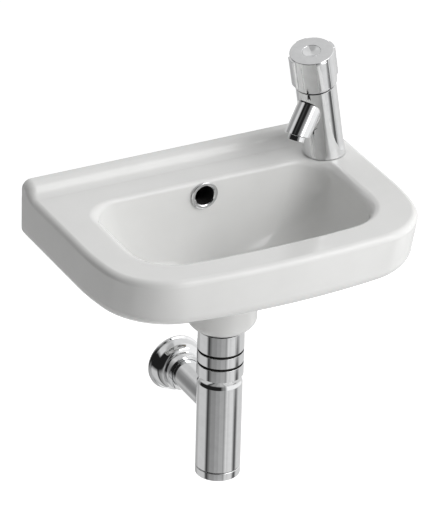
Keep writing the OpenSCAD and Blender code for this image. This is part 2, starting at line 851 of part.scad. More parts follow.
module handle() {
    edge = 1;
    hub_r = spindle_r + 4;
    pocket_r = 5;
    lug_low = handle_low + 0.5;
    lug_high = handle_top - 1.2;
    color(chrome) on_column() difference() {
        union() {
            bore(handle_low, handle_top - edge, handle_r);
            translate([0, 0, handle_top - edge]) cylinder(h = edge, r1 = handle_r, r2 = handle_r - edge);
            intersection() {
                union() {
                    bore(lug_low + lug_slope, lug_high, lug_r);
                    translate([0, 0, lug_low]) cylinder(h = lug_slope, r1 = handle_r - pipe_gap, r2 = lug_r);
                }
                for (k = [0 : lug_count - 1]) rotate([0, 0, lug_turn + k * 360 / lug_count])
                    translate([cup_r + 1, -lug_w / 2, lug_low]) cube([lug_r, lug_w, lug_high - lug_low]);
            }
        }
        difference() {
            bore(handle_low - cut, cup_top, cup_r);
            bore(headwork_top + 1, cup_top + cut, hub_r);
        }
        bore(headwork_top, cup_top, spindle_r + running);
        bore(cup_top - cut, handle_top + cut, screw_r + thread_gap + gap);
        bore(pocket_low, handle_top, pocket_r);
        bore(index_low, handle_top + cut, index_r + running);
    }
}

module handle_screw() {
    head_low = pocket_low + thread_gap;
    head_t = 3.6;
    key_r = 2;
    key_deep = 2.2;
    color(steel) on_column() difference() {
        union() {
            bore(spindle_top - screw_l, head_low, screw_r);
            bore(head_low, head_low + head_t, screw_head_r);
        }
        translate([0, 0, head_low + head_t - key_deep]) cylinder(h = key_deep + cut, r = key_r, $fn = 6);
    }
}

module index_cap() {
    dish_round = 30;
    dish_deep = 2;
    below_edge = 0.3;
    color(chrome) on_column() difference() {
        bore(index_low + thread_gap, handle_top - below_edge, index_r);
        translate([0, 0, handle_top + dish_round - dish_deep]) sphere(r = dish_round);
    }
}

insert_r = aerator_r - 2.4;
insert_low = -2;
module aerator_housing() {
    edge = 0.6;
    color(chrome) on_mouth() difference() {
        union() {
            bore(-aerator_sleeve_l, 0, aerator_sleeve_r);
            bore(0, aerator_out - edge, aerator_r);
            translate([0, 0, aerator_out - edge]) cylinder(h = edge, r1 = aerator_r, r2 = aerator_r - edge);
        }
        bore(-aerator_sleeve_l - cut, aerator_out + cut, insert_r + thread_gap);
    }
}

module aerator_insert() {
    insert_t = aerator_out + 1;
    hole_r = 1;
    hole_count = 8;
    hole_ring = insert_r - 2.4;
    color(plastic) on_mouth() difference() {
        bore(insert_low, insert_low + insert_t, insert_r);
        bore(insert_low - cut, insert_low + insert_t + cut, hole_r);
        for (k = [0 : hole_count - 1]) rotate([0, 0, k * 360 / hole_count])
            translate([hole_ring, 0, insert_low - cut]) cylinder(h = insert_t + 2 * cut, r = hole_r);
    }
}

module aerator_seal() {
    seal_t = 1.8;
    seal_wide = 2.4;
    color(rubber) on_mouth() tube(insert_low - seal_t, insert_low, insert_r, insert_r - seal_wide);
}

inlet_seal_t = 2;
tube_flange_t = 2;
tube_flange_r = waste_thread_r - pipe_gap;
tube_top = waste_tail_z - inlet_seal_t;
tube_flange_low = tube_top - tube_flange_t;
tube_foot = -outlet_drop - pipe_r - seal_depth;
neck_r = 21.3;
nut_lip = 3.5;
slip_seal_t = 5.5;
neck_top = body_nut_top - nut_lip - slip_seal_t;

module union_nut() {
    low = body_nut_top + nut_gap;
    groove_low = union_top - groove_h;
    color(chrome) at_waste() difference() {
        union() {
            bore(groove_low, union_top, nut_r - groove_in);
            round_nut(low, groove_low, nut_r, waste_thread_r / 2);
        }
        bore(tube_flange_low, union_top + cut, waste_thread_r + thread_gap);
        bore(low - cut, tube_flange_low + cut, pipe_r + pipe_gap);
    }
}

module inlet_seal() {
    color(rubber) at_waste() tube(tube_top, waste_tail_z, tube_flange_r, pipe_r - pipe_t);
}

module dip_tube() {
    color(chrome) at_waste() difference() {
        union() {
            bore(tube_flange_low, tube_top, tube_flange_r);
            bore(tube_foot, tube_flange_low, pipe_r);
        }
        bore(tube_foot - cut, tube_top + cut, pipe_r - pipe_t);
    }
}

module body_nut() {
    low = -bottle_top + nut_gap;
    groove_low = body_nut_top - groove_h;
    color(chrome) at_waste() difference() {
        union() {
            bore(groove_low, body_nut_top, nut_r - groove_in);
            round_nut(low, groove_low, nut_r, pipe_r / 2);
        }
        bore(low - cut, body_nut_top - nut_lip, neck_r + thread_gap);
        bore(body_nut_top - nut_lip - cut, body_nut_top + cut, pipe_r + pipe_gap);
    }
}

module slip_seal() {
    color(rubber) at_waste() tube(neck_top, body_nut_top - nut_lip, neck_r - gap, pipe_r + running);
}

waist_h = 9.7;
waist_in = 1.4;
module trap_body() {
    inner = bottle_r - bottle_t;
    shoulder = 2 * bottle_t;
    waist_low = -bottle_top - waist_h;
    waist_mid = -bottle_top - waist_h / 2;
    color(chrome) difference() {
        at_waste() difference() {
            union() {
                bore(-bottle_top - shoulder, neck_top, neck_r);
                bore(waist_low, -bottle_top, bottle_r - waist_in);
                translate([0, 0, waist_mid]) cylinder(h = waist_h / 2, r1 = bottle_r - waist_in, r2 = bottle_r);
                translate([0, 0, waist_low]) cylinder(h = waist_h / 2, r1 = bottle_r, r2 = bottle_r - waist_in);
                bore(-cap_joint, waist_low, bottle_r);
            }
            bore(-cap_joint - cut, -bottle_top - shoulder, inner - waist_in);
            bore(-cap_joint - cut, waist_low - bottle_t, inner);
            bore(-bottle_top - shoulder - cut, neck_top + cut, pipe_r + pipe_gap);
        }
        at_outlet() bore(-waste_back, -waste_back + bottle_r + cut, pipe_r + running);
    }
}

bottom_seal_t = 0.8;
module bottom_seal() {
    color(rubber) at_waste()
        tube(-cap_joint - bottom_seal_t, -cap_joint, bottle_r - gap, bottle_r - bottle_t);
}

module bottom_cap() {
    top = -cap_joint - bottom_seal_t;
    low = -cap_joint - cap_h;
    spigot_r = bottle_r - bottle_t - thread_gap;
    spigot_l = 8;
    spigot_t = 2;
    floor_t = 3;
    edge = 1.2;
    color(chrome) at_waste() difference() {
        union() {
            bore(low + edge, top, bottle_r);
            translate([0, 0, low]) cylinder(h = edge, r1 = bottle_r - edge, r2 = bottle_r);
            bore(top - cut, spigot_l - cap_joint, spigot_r);
        }
        bore(low + floor_t, spigot_l - cap_joint + cut, spigot_r - spigot_t);
    }
}

module outlet_pipe() {
    inside = bottle_r - waste_back - 2.2;
    mark = 1.5;
    mark_w = 0.6;
    mark_deep = 0.3;
    color(chrome) at_outlet() difference() {
        union() {
            bore(inside, mark, pipe_r);
            bore(mark, mark + mark_w, pipe_r - mark_deep);
            bore(mark + mark_w, outlet_in_wall, pipe_r);
        }
        bore(inside - cut, outlet_in_wall + cut, pipe_r - pipe_t);
    }
}

// Shell that covers the hole in the wall: a flange, a rounded cone and a neck on the pipe
module wall_rosette() {
    shell = 1.5;
    edge = 1;
    flange_w = 4.5;
    flange_h = 2.6;
    cone_r = rosette_r - flange_w;
    dome_r = rosette_neck_r + 2 * shell;
    neck_low = 15;
    inner_r = pipe_r + pipe_gap;
    color(chrome) at_outlet() rotate([180, 0, 0]) rotate_extrude() difference() {
        polygon([
            [inner_r, 0], [rosette_r, 0], [rosette_r, flange_h - edge], [rosette_r - edge, flange_h],
            [cone_r + edge, flange_h + edge / 2], [cone_r, flange_h + shell], [dome_r + edge, neck_low - edge],
            [dome_r - edge, neck_low], [rosette_neck_r, neck_low + edge], [rosette_neck_r, rosette_d - edge],
            [rosette_neck_r - edge, rosette_d], [inner_r, rosette_d]
        ]);
        polygon([
            [0, -cut], [cone_r, -cut], [cone_r - shell, flange_h],
            [dome_r - shell, neck_low - shell - edge], [0, neck_low - shell]
        ]);
    }
}

basin_body();
overflow_ring();
waste_body();
waste_seat_seal();
waste_under_seal();
waste_backnut();
click_barrel();
click_spring();
plug_stem();
plug_cap();
plug_seal();
tap_body();
tap_base_seal();
tap_tail();
tap_rubber_washer();
tap_metal_washer();
tap_backnut();
headwork();
headwork_seal();
fixed_disc();
turning_disc();
spindle();
handle();
handle_screw();
index_cap();
aerator_housing();
aerator_insert();
aerator_seal();
union_nut();
inlet_seal();
dip_tube();
slip_seal();
body_nut();
trap_body();
bottom_seal();
bottom_cap();
outlet_pipe();
wall_rosette();
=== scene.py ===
"""Dresses a small wall-hung hand basin with its pillar tap, push-open waste and bottle trap."""

import contextlib
import functools
import json
import logging
import math
import operator
from dataclasses import dataclass
from enum import Enum
from typing import Iterator, Sequence

import bmesh
import bpy
from mathutils import Matrix, Vector


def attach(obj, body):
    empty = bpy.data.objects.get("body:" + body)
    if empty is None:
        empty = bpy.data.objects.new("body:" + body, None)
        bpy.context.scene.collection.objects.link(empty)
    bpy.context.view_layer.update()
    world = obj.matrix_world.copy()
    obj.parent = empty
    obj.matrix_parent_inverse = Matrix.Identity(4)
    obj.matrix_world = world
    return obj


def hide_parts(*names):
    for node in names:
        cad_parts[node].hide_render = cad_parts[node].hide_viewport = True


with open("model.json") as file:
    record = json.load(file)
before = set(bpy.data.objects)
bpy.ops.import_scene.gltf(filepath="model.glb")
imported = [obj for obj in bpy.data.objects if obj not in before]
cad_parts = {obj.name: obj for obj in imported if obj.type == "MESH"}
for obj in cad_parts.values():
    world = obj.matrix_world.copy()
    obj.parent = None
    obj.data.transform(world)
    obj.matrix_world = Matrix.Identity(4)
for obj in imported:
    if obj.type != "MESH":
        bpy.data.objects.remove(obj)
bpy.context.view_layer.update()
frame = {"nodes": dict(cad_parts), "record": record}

log = logging.getLogger("hand_basin")

Piece = bpy.types.Object
Corner = tuple[float, float]
Ring = list[tuple[float, float, float]]

MM = 0.001
RIM = 75.0
SMOOTH = math.radians(32)
MACHINED = 40.0
TOUCH = 1e-6
ON_PLANE = 1e-5
OVERRUN = 1.0
MARGIN = 0.1
CENTRE_R = 0.5


class Body(Enum):
    """Moving bodies of the basin set."""

    FIXED = "root"
    HANDLE = "tap_handle"
    PLUG = "plug"


# ---------------------------------------------------------------- frames


def shift(x: float, y: float, z: float) -> Matrix:
    """Returns a move by millimetres."""
    return Matrix.Translation((x * MM, y * MM, z * MM))


def swing(degrees: float, axis: str) -> Matrix:
    """Returns a turn round one of the axes X, Y or Z."""
    return Matrix.Rotation(math.radians(degrees), 4, axis)


def direction(azimuth: float, elevation: float) -> Vector:
    """Points from the basin to an azimuth and an elevation.

    Args:
        azimuth: Turn from the front in degrees.
        elevation: Climb from the level in degrees.

    Returns:
        The way, of length 1.
    """
    turn, climb = math.radians(azimuth), math.radians(elevation)
    level = math.cos(climb)
    return Vector((math.sin(turn) * level, -math.cos(turn) * level, math.sin(climb)))


@dataclass(frozen=True)
class Layout:
    """Places of the sub-assemblies, in millimetres and degrees."""

    waste_back: float = 103.0
    tap_x: float = 144.0
    tap_back: float = 49.5
    tap_turn: float = 208.6
    tap_lean: float = 14.0
    spout_root: float = 78.9
    spout_fall: float = 47.4
    spout_l: float = 49.0
    mouth_turn: float = 17.0
    outlet_drop: float = 243.4
    overflow_back: float = 57.0
    overflow_drop: float = 16.2

    def waste(self) -> Matrix:
        """Returns the frame of the waste's axis at rim height."""
        return shift(0, -self.waste_back, RIM)

    def tap(self) -> Matrix:
        """Returns the upright frame of the tap hole."""
        return shift(self.tap_x, -self.tap_back, RIM)

    def column(self) -> Matrix:
        """Returns the frame of the leaning column."""
        return self.tap() @ swing(self.tap_turn, "Z") @ swing(self.tap_lean, "Y")

    def spout(self) -> Matrix:
        """Returns the frame of the spout, which points out of the column."""
        turn = 90 + self.spout_fall - self.tap_lean
        return self.column() @ shift(0, 0, self.spout_root) @ swing(turn, "Y")

    def mouth(self) -> Matrix:
        """Returns the frame of the spout's mouth, which points out of it."""
        return self.spout() @ shift(0, 0, self.spout_l) @ swing(self.mouth_turn, "Y")

    def outlet(self) -> Matrix:
        """Returns the frame of the outlet pipe, which points into the wall."""
        return shift(0, 0, RIM - self.outlet_drop) @ swing(-90, "X")

    def overflow(self) -> Matrix:
        """Returns the frame of the overflow hole, which points into the bowl."""
        return shift(0, -self.overflow_back, RIM - self.overflow_drop) @ swing(90, "X")


LAYOUT = Layout()


# ---------------------------------------------------------------- bench work


def clear_selection() -> None:
    """Leaves object mode with nothing selected."""
    if bpy.context.mode != "OBJECT":
        bpy.ops.object.mode_set(mode="OBJECT")
    bpy.ops.object.select_all(action="DESELECT")


def take(piece: Piece) -> None:
    """Selects one piece and makes it active.

    Args:
        piece: The piece to take.
    """
    clear_selection()
    piece.select_set(True)
    bpy.context.view_layer.objects.active = piece


@contextlib.contextmanager
def editing(piece: Piece) -> Iterator[None]:
    """Opens a piece in edit mode and closes it again.

    Args:
        piece: The piece to edit.

    Yields:
        Nothing, while the piece is open.
    """
    take(piece)
    bpy.ops.object.mode_set(mode="EDIT")
    yield
    bpy.ops.object.mode_set(mode="OBJECT")


def settle(piece: Piece, place: Matrix | None = None) -> Piece:
    """Moves a piece to its frame and puts that place into its mesh.

    Args:
        piece: The piece to move.
        place: Frame that the piece was built in, or None where it is in place.

    Returns:
        The same piece, with its object at the origin.
    """
    if place is not None:
        piece.matrix_world = place @ piece.matrix_world
    take(piece)
    bpy.ops.object.transform_apply(location=True, rotation=True, scale=True)
    return piece


def apply_all(piece: Piece) -> None:
    """Applies every modifier on a piece.

    Args:
        piece: The piece to finish.
    """
    take(piece)
    for modifier in list(piece.modifiers):
        bpy.ops.object.modifier_apply(modifier=modifier.name)


def close_up(ends: bool) -> None:
    """Merges doubles, closes open ends where asked, and turns the faces outwards.

    Args:
        ends: True where the open loops are filled.
    """
    bpy.ops.mesh.select_all(action="SELECT")
    bpy.ops.mesh.remove_doubles(threshold=TOUCH)
    if ends:
        bpy.ops.mesh.fill_holes(sides=0)
    bpy.ops.mesh.select_all(action="SELECT")
    bpy.ops.mesh.normals_make_consistent(inside=False)


def soften(width: float, angle: float = 24.0, steps: int = 3) -> None:
    """Rounds the sharp edges of the piece in edit mode.

    Args:
        width: Offset of the rounding in millimetres, or 0 for none.
        angle: Smallest angle of an edge that is rounded, in degrees.
        steps: Faces across each rounding.
    """
    if width <= 0:
        return
    bpy.ops.mesh.select_mode(type="EDGE")
    bpy.ops.mesh.select_all(action="DESELECT")
    bpy.ops.mesh.edges_select_sharp(sharpness=math.radians(angle))
    bpy.ops.mesh.bevel(offset=width * MM, segments=steps, clamp_overlap=True)
    bpy.ops.mesh.select_mode(type="VERT")


def smooth(piece: Piece) -> None:
    """Shades a piece smooth up to a set angle, with flat faces kept flat.

    Args:
        piece: The piece to shade.
    """
    take(piece)
    bpy.ops.object.shade_smooth_by_angle(angle=SMOOTH)
    weigh = piece.modifiers.new("Even shading", "WEIGHTED_NORMAL")
    weigh.keep_sharp = True
    weigh.weight = 80
    apply_all(piece)


def turn_on_lathe(
    name: str,
    corners: Sequence[Corner],
    place: Matrix,
    sides: int = 96,
    edge: float = 0.3,
    bored: bool = True,
) -> Piece:
    """Turns a section round the Z axis of a frame.

    Args:
        name: Name of the piece.
        corners: Radius and height of each corner of the section, in millimetres.
        place: Frame of the axis.
        sides: Number of sides of each circle.
        edge: Width of the rounding of the sharp edges, in millimetres.
        bored: True where the section closes round a bore, False for closed ends.

    Returns:
        The turned piece.
    """
    radius, height = corners[0]
    clear_selection()
    start = (0, 0, height * MM)
    bpy.ops.mesh.primitive_circle_add(vertices=sides, radius=radius * MM, location=start)
    piece = bpy.context.object
    piece.name = name
    with editing(piece):
        bpy.ops.mesh.select_all(action="SELECT")
        for next_radius, next_height in [*corners[1:], *(corners[:1] if bored else ())]:
            step = (0, 0, (next_height - height) * MM)
            bpy.ops.mesh.extrude_region_move(TRANSFORM_OT_translate={"value": step})
            share = next_radius / radius
            middle = (0, 0, next_height * MM)
            bpy.ops.transform.resize(value=(share, share, 1), center_override=middle)
            radius, height = next_radius, next_height
        close_up(ends=not bored)
        soften(edge)
    return settle(piece, place)


def next_order(mesh: bmesh.types.BMesh, order: list[int], old_count: int) -> list[int]:
    """Follows each point of a ring to its new point after an extrusion.

    Args:
        mesh: The mesh in edit mode.
        order: Indices of the old ring's points.
        old_count: Number of points before the extrusion.

    Returns:
        Indices of the new ring's points, in the same order.
    """
    mesh.verts.ensure_lookup_table()
    new = []
    for old in order:
        point = mesh.verts[old]
        ends = (edge.other_vert(point).index for edge in point.link_edges)
        new.append(next(end for end in ends if end >= old_count))
    return new


def draw_skin(name: str, rings: Sequence[Ring], place: Matrix, looped: bool = False) -> Piece:
    """Draws a skin out of one loop, extruded from ring to ring.

    Args:
        name: Name of the piece.
        rings: Points of each ring in millimetres, the same number in each.
        place: Frame of the rings.
        looped: True where the last ring runs into the first, False for closed ends.

    Returns:
        The skin as a closed piece.
    """
    count = len(rings[0])
    clear_selection()
    bpy.ops.mesh.primitive_circle_add(vertices=count, radius=MM)
    piece = bpy.context.object
    piece.name = name
    with editing(piece):
        bpy.ops.mesh.select_all(action="SELECT")
        order = list(range(count))
        for number, ring in enumerate(rings):
            if number:
                old_count = len(bmesh.from_edit_mesh(piece.data).verts)
                bpy.ops.mesh.extrude_region_move()
                order = next_order(bmesh.from_edit_mesh(piece.data), order, old_count)
            mesh = bmesh.from_edit_mesh(piece.data)
            mesh.verts.ensure_lookup_table()
            for index, point in zip(order, ring):
                mesh.verts[index].co = Vector(point) * MM
            bmesh.update_edit_mesh(piece.data)
        if looped:
            bpy.ops.mesh.select_all(action="DESELECT")
            mesh = bmesh.from_edit_mesh(piece.data)
            for rim in mesh.edges:
                rim.select = rim.is_boundary
            bmesh.update_edit_mesh(piece.data)
            bpy.ops.mesh.bridge_edge_loops()
        close_up(ends=not looped)
    return settle(piece, place)


def combine(piece: Piece, other: Piece, way: str) -> Piece:
    """Joins another solid to a piece or cuts it out, and removes that other solid.

    Args:
        piece: The piece that is kept.
        other: The solid that is used up.
        way: UNION or DIFFERENCE.

    Returns:
        The piece.
    """
    step = piece.modifiers.new(way.lower(), "BOOLEAN")
    step.operation = way
    step.solver = "EXACT"
    step.object = other
    apply_all(piece)
    bpy.data.objects.remove(other, do_unlink=True)
    return piece


def drill(
    piece: Piece, place: Matrix, low: float, high: float, radius: float, sides: int = 64
) -> None:
    """Drills a round hole along the Z axis of a frame.

    Args:
        piece: The piece that is drilled.
        place: Frame of the hole.
        low: Lower end of the hole in millimetres.
        high: Upper end of the hole in millimetres.
        radius: Radius of the hole in millimetres.
        sides: Number of sides of the hole.
    """
    rod = turn_on_lathe("drill", [(radius, low), (radius, high)], place, sides, edge=0, bored=False)
    combine(piece, rod, "DIFFERENCE")


# ---------------------------------------------------------------- materials


class Value:
    """A number or colour that runs through a node tree."""

    def __init__(self, tree: "Wiring", socket: bpy.types.NodeSocket) -> None:
        """Keeps the tree and the output socket."""
        self.tree = tree
        self.socket = socket

    def maths(self, operation: str, *others: "Value | float") -> "Value":
        """Returns the result of a Math node on this value and others."""
        return self.tree.node("ShaderNodeMath", {"operation": operation}, [self, *others])

    def __add__(self, other: "Value | float") -> "Value":
        """Returns this value plus another."""
        return self.maths("ADD", other)

    def __sub__(self, other: "Value | float") -> "Value":
        """Returns this value less another."""
        return self.maths("SUBTRACT", other)

    def __rsub__(self, other: float) -> "Value":
        """Returns a number less this value."""
        return self.tree.node("ShaderNodeMath", {"operation": "SUBTRACT"}, [other, self])

    def __mul__(self, other: "Value | float") -> "Value":
        """Returns this value times another."""
        return self.maths("MULTIPLY", other)

    __radd__ = __add__
    __rmul__ = __mul__

    def between(self, low: float, high: float) -> "Value":
        """Returns 0 below low, 1 above high and an even ramp between them."""
        inputs = {"Value": self, "From Min": low, "From Max": high}
        return self.tree.node("ShaderNodeMapRange", {"clamp": True}, inputs)


class Wiring:
    """The node tree of a material or of the surroundings."""

    def __init__(self, owner: bpy.types.Material | bpy.types.World) -> None:
        """Takes the tree of its owner.

        Args:
            owner: The material or world that is wired.
        """
        owner.use_nodes = True
        self.tree = owner.node_tree

    def node(
        self,
        kind: str,
        settings: dict[str, object] | None = None,
        inputs: dict[str, object] | Sequence[object] = (),
        output: int | str = 0,
    ) -> Value:
        """Adds one node.

        Args:
            kind: Type of the node.
            settings: Properties that are set first.
            inputs: Values or links by the name or order of their sockets.
            output: The output that is returned.

        Returns:
            That output as a value.
        """
        node = self.tree.nodes.new(kind)
        for key, setting in (settings or {}).items():
            setattr(node, key, setting)
        pairs = inputs.items() if isinstance(inputs, dict) else enumerate(inputs)
        for key, given in pairs:
            self.feed(node.inputs[key], given)
        return Value(self, node.outputs[output])

    def feed(self, socket: bpy.types.NodeSocket, given: object) -> None:
        """Links a value to a socket, or sets the socket to a constant.

        Args:
            socket: The input socket.
            given: A value of the tree, or a constant.
        """
        if isinstance(given, Value):
            self.tree.links.new(given.socket, socket)
        else:
            socket.default_value = given

    def seen(self) -> Value:
        """Tells what the camera sees, straight or in gloss or through glass.

        Returns:
            1 on rays that the camera sees, 0 on the others.
        """
        camera, gloss, glass = (
            self.node("ShaderNodeLightPath", output=f"Is {way} Ray")
            for way in ("Camera", "Glossy", "Transmission")
        )
        return camera.maths("MAXIMUM", gloss).maths("MAXIMUM", glass)


class Paint(Wiring):
    """A material on one shader."""

    def __init__(self, name: str) -> None:
        """Starts the material.

        Args:
            name: Name of the material.
        """
        self.material = bpy.data.materials.new(name)
        super().__init__(self.material)
        self.shader = self.tree.nodes["Principled BSDF"]

    def set(self, **inputs: object) -> None:
        """Feeds sockets of the shader, with spaces in their names written as underscores."""
        for key, given in inputs.items():
            self.feed(self.shader.inputs[key.replace("_", " ")], given)

    def place(self) -> Value:
        """Returns the position on the piece."""
        return self.node("ShaderNodeTexCoord", output="Object")

    def noise(self, size: float, detail: float = 2.0, rough: float = 0.5) -> Value:
        """Returns cloudy noise.

        Args:
            size: Size of a cloud in millimetres.
            detail: Number of finer layers.
            rough: Share of the finer layers.

        Returns:
            The noise from 0 to 1.
        """
        scale = 1 / (size * MM)
        inputs = {"Vector": self.place(), "Scale": scale, "Detail": detail, "Roughness": rough}
        return self.node("ShaderNodeTexNoise", {"noise_dimensions": "3D"}, inputs)

    def blend(self, share: Value, first: Sequence[float], second: Sequence[float]) -> Value:
        """Returns the mix of two colours by a share."""
        inputs = {0: share, 6: (*first, 1), 7: (*second, 1)}
        return self.node("ShaderNodeMix", {"data_type": "RGBA"}, inputs, output=2)

    def bump(self, height: Value, depth: float) -> Value:
        """Returns a normal raised by a height.

        Args:
            height: Height from 0 to 1.
            depth: Depth that 1 stands for, in millimetres.

        Returns:
            The normal.
        """
        inputs = {"Strength": 1.0, "Distance": depth * MM, "Height": height}
        return self.node("ShaderNodeBump", None, inputs)


@dataclass(frozen=True)
class GlazedChina:
    """White vitreous china under a clear glaze."""

    name: str = "glazed_china"
    pale: tuple[float, float, float] = (0.80, 0.80, 0.79)
    deep: tuple[float, float, float] = (0.775, 0.775, 0.765)
    gloss: float = 0.08
    gloss_shift: float = 0.05
    cloud: float = 38.0
    speck: float = 0.9
    speck_share: float = 0.2
    peel: float = 14.0
    peel_depth: float = 0.03

    def make(self) -> bpy.types.Material:
        """Mixes faint clouds in the body and a hint of orange peel in the glaze.

        Returns:
            The material.
        """
        paint = Paint(self.name)
        clouds = paint.noise(self.cloud, detail=3)
        specks = paint.noise(self.speck, detail=2).between(0.7, 0.82)
        share = clouds.between(0.35, 0.7) * (1 - self.speck_share) + specks * self.speck_share
        wave = paint.noise(self.peel, detail=1)
        paint.set(
            Base_Color=paint.blend(share, self.pale, self.deep),
            Roughness=clouds * self.gloss_shift + self.gloss,
            Normal=paint.bump(wave, self.peel_depth),
            Specular_IOR_Level=0.5,
            IOR=1.5,
        )
        return paint.material


@dataclass(frozen=True)
class Chrome:
    """Polished chrome plate."""

    name: str = "polished_chrome"
    bright: tuple[float, float, float] = (0.86, 0.865, 0.87)
    dull: tuple[float, float, float] = (0.80, 0.805, 0.81)
    gloss: float = 0.035
    gloss_shift: float = 0.03
    haze: float = 9.0
    buffing: float = 7.0
    buffing_depth: float = 0.004

    def make(self) -> bpy.types.Material:
        """Mixes hazy patches of wiping and a slight buffing wave.

        Returns:
            The material.
        """
        paint = Paint(self.name)
        haze = paint.noise(self.haze, detail=4, rough=0.6)
        wave = paint.noise(self.buffing, detail=1)
        paint.set(
            Base_Color=paint.blend(haze.between(0.35, 0.75), self.bright, self.dull),
            Metallic=1.0,
            Roughness=haze.between(0.4, 0.8) * self.gloss_shift + self.gloss,
            Normal=paint.bump(wave, self.buffing_depth),
        )
        return paint.material


@dataclass(frozen=True)
class BareMetal:
    """Machined metal without plating, such as brass or steel."""

    name: str
    bright: tuple[float, float, float]
    dull: tuple[float, float, float]
    gloss: float = 0.22
    gloss_shift: float = 0.18
    tarnish: float = 5.0
    mark: float = 0.35
    mark_depth: float = 0.012

    def make(self) -> bpy.types.Material:
        """Mixes fine turning marks and tarnished patches.

        Returns:
            The material.
        """
        paint = Paint(self.name)
        tarnish = paint.noise(self.tarnish, detail=4, rough=0.65)
        marks = paint.noise(self.mark, detail=2)
        paint.set(
            Base_Color=paint.blend(tarnish.between(0.35, 0.7), self.bright, self.dull),
            Metallic=1.0,
            Roughness=tarnish * self.gloss_shift + self.gloss,
            Normal=paint.bump(marks, self.mark_depth),
        )
        return paint.material


@dataclass(frozen=True)
class Matt:
    """Rubber, plastic or bare ceramic."""

    name: str
    pale: tuple[float, float, float]
    deep: tuple[float, float, float]
    gloss: float = 0.5
    grain_depth: float = 0.02
    gloss_shift: float = 0.15
    cloud: float = 4.0
    grain: float = 0.4

    def make(self) -> bpy.types.Material:
        """Mixes small shifts of tone and a fine moulded grain.

        Returns:
            The material.
        """
        paint = Paint(self.name)
        clouds = paint.noise(self.cloud, detail=3)
        grain = paint.noise(self.grain, detail=2)
        paint.set(
            Base_Color=paint.blend(clouds.between(0.3, 0.7), self.pale, self.deep),
            Roughness=clouds * self.gloss_shift + self.gloss,
            Normal=paint.bump(grain, self.grain_depth),
        )
        return paint.material


@dataclass(frozen=True)
class Hollow:
    """A round hollow whose faces get painted shade, in the millimetres of a frame."""

    place: Matrix
    low: float
    high: float
    outer: float
    inner: float = 0.0

    def holds(self, point: Vector) -> bool:
        """Returns whether a point in metres lies in the hollow."""
        x, y, z = (self.place.inverted() @ point) / MM
        return self.low < z < self.high and self.inner < math.hypot(x, y) < self.outer


class Finish(Enum):
    """Finishes by the record's material slots."""

    CHINA = "china"
    CHROME = "chrome"
    BRASS = "brass"
    STEEL = "steel"
    RUBBER = "rubber"
    CERAMIC = "valve_ceramic"
    PLASTIC = "aerator_plastic"


def mix_finishes() -> dict[Finish, bpy.types.Material]:
    """Mixes every finish.

    Returns:
        The material of each finish.
    """
    recipes = {
        Finish.CHINA: GlazedChina(),
        Finish.CHROME: Chrome(),
        Finish.BRASS: BareMetal("machined_brass", (0.78, 0.60, 0.33), (0.60, 0.44, 0.22)),
        Finish.STEEL: BareMetal("plain_steel", (0.62, 0.62, 0.61), (0.45, 0.45, 0.44), 0.28),
        Finish.RUBBER: Matt("black_rubber", (0.03, 0.03, 0.03), (0.018, 0.018, 0.018), 0.55),
        Finish.CERAMIC: Matt("lapped_ceramic", (0.82, 0.80, 0.75), (0.74, 0.72, 0.67), 0.25, 0.003),
        Finish.PLASTIC: Matt("aerator_plastic", (0.55, 0.56, 0.57), (0.45, 0.46, 0.47), 0.35, 0.01),
    }
    return {finish: recipe.make() for finish, recipe in recipes.items()}


class Workshop:
    """Dresses finished pieces and says what they stand for."""

    def __init__(self) -> None:
        """Mixes the finishes."""
        self.finishes = mix_finishes()
        # Near-black matt material: painted shade for the insides of holes, grooves and gaps.
        self.dull = Matt("painted_shade", (0.022, 0.021, 0.020), (0.012, 0.012, 0.012), 0.6).make()

    def dress(
        self, piece: Piece, finish: Finish, *nodes: str, body: Body = Body.FIXED
    ) -> Piece:
        """Shades a piece, gives it its finish and ties it to its body.

        Args:
            piece: The finished piece.
            finish: Its finish.
            nodes: The construction nodes that it stands for.
            body: The body that it moves with.

        Returns:
            The same piece.
        """
        smooth(piece)
        piece.data.materials.clear()
        piece.data.materials.append(self.finishes[finish])
        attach(piece, body.value)
        if nodes:
            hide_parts(*nodes)
        log.info("%s: %d faces", piece.name, len(piece.data.polygons))
        return piece

    def paint_shade_inside(self, piece: Piece, *hollows: Hollow) -> None:
        """Paints shade on the faces of a dressed piece where they lie in its hollows: a near-black matt
        material stands in for the shade there.

        Args:
            piece: The dressed piece.
            hollows: Its hollows, which get the painted shade.
        """
        piece.data.materials.append(self.dull)
        for face in piece.data.polygons:
            face.material_index = int(any(hollow.holds(face.center) for hollow in hollows))

    def dress_nodes(self) -> None:
        """Gives every construction node that stays the finish of its slot."""
        for entry in frame["record"]["subparts"]:
            node = frame["nodes"][entry["node"]]
            if node.hide_render:
                continue
            material = self.finishes[Finish(entry["material_slot"])]
            for seat in node.material_slots:
                seat.material = material


# ---------------------------------------------------------------- basin


def arc_point(centre: Corner, radius: float, turn: float) -> Corner:
    """Returns the point of a circle at a turn from its front, in degrees."""
    angle = math.radians(turn)
    return centre[0] + radius * math.sin(angle), centre[1] - radius * math.cos(angle)


def mix(first: float, second: float, share: float) -> float:
    """Returns the number at a share of the way from first to second."""
    return first + (second - first) * share


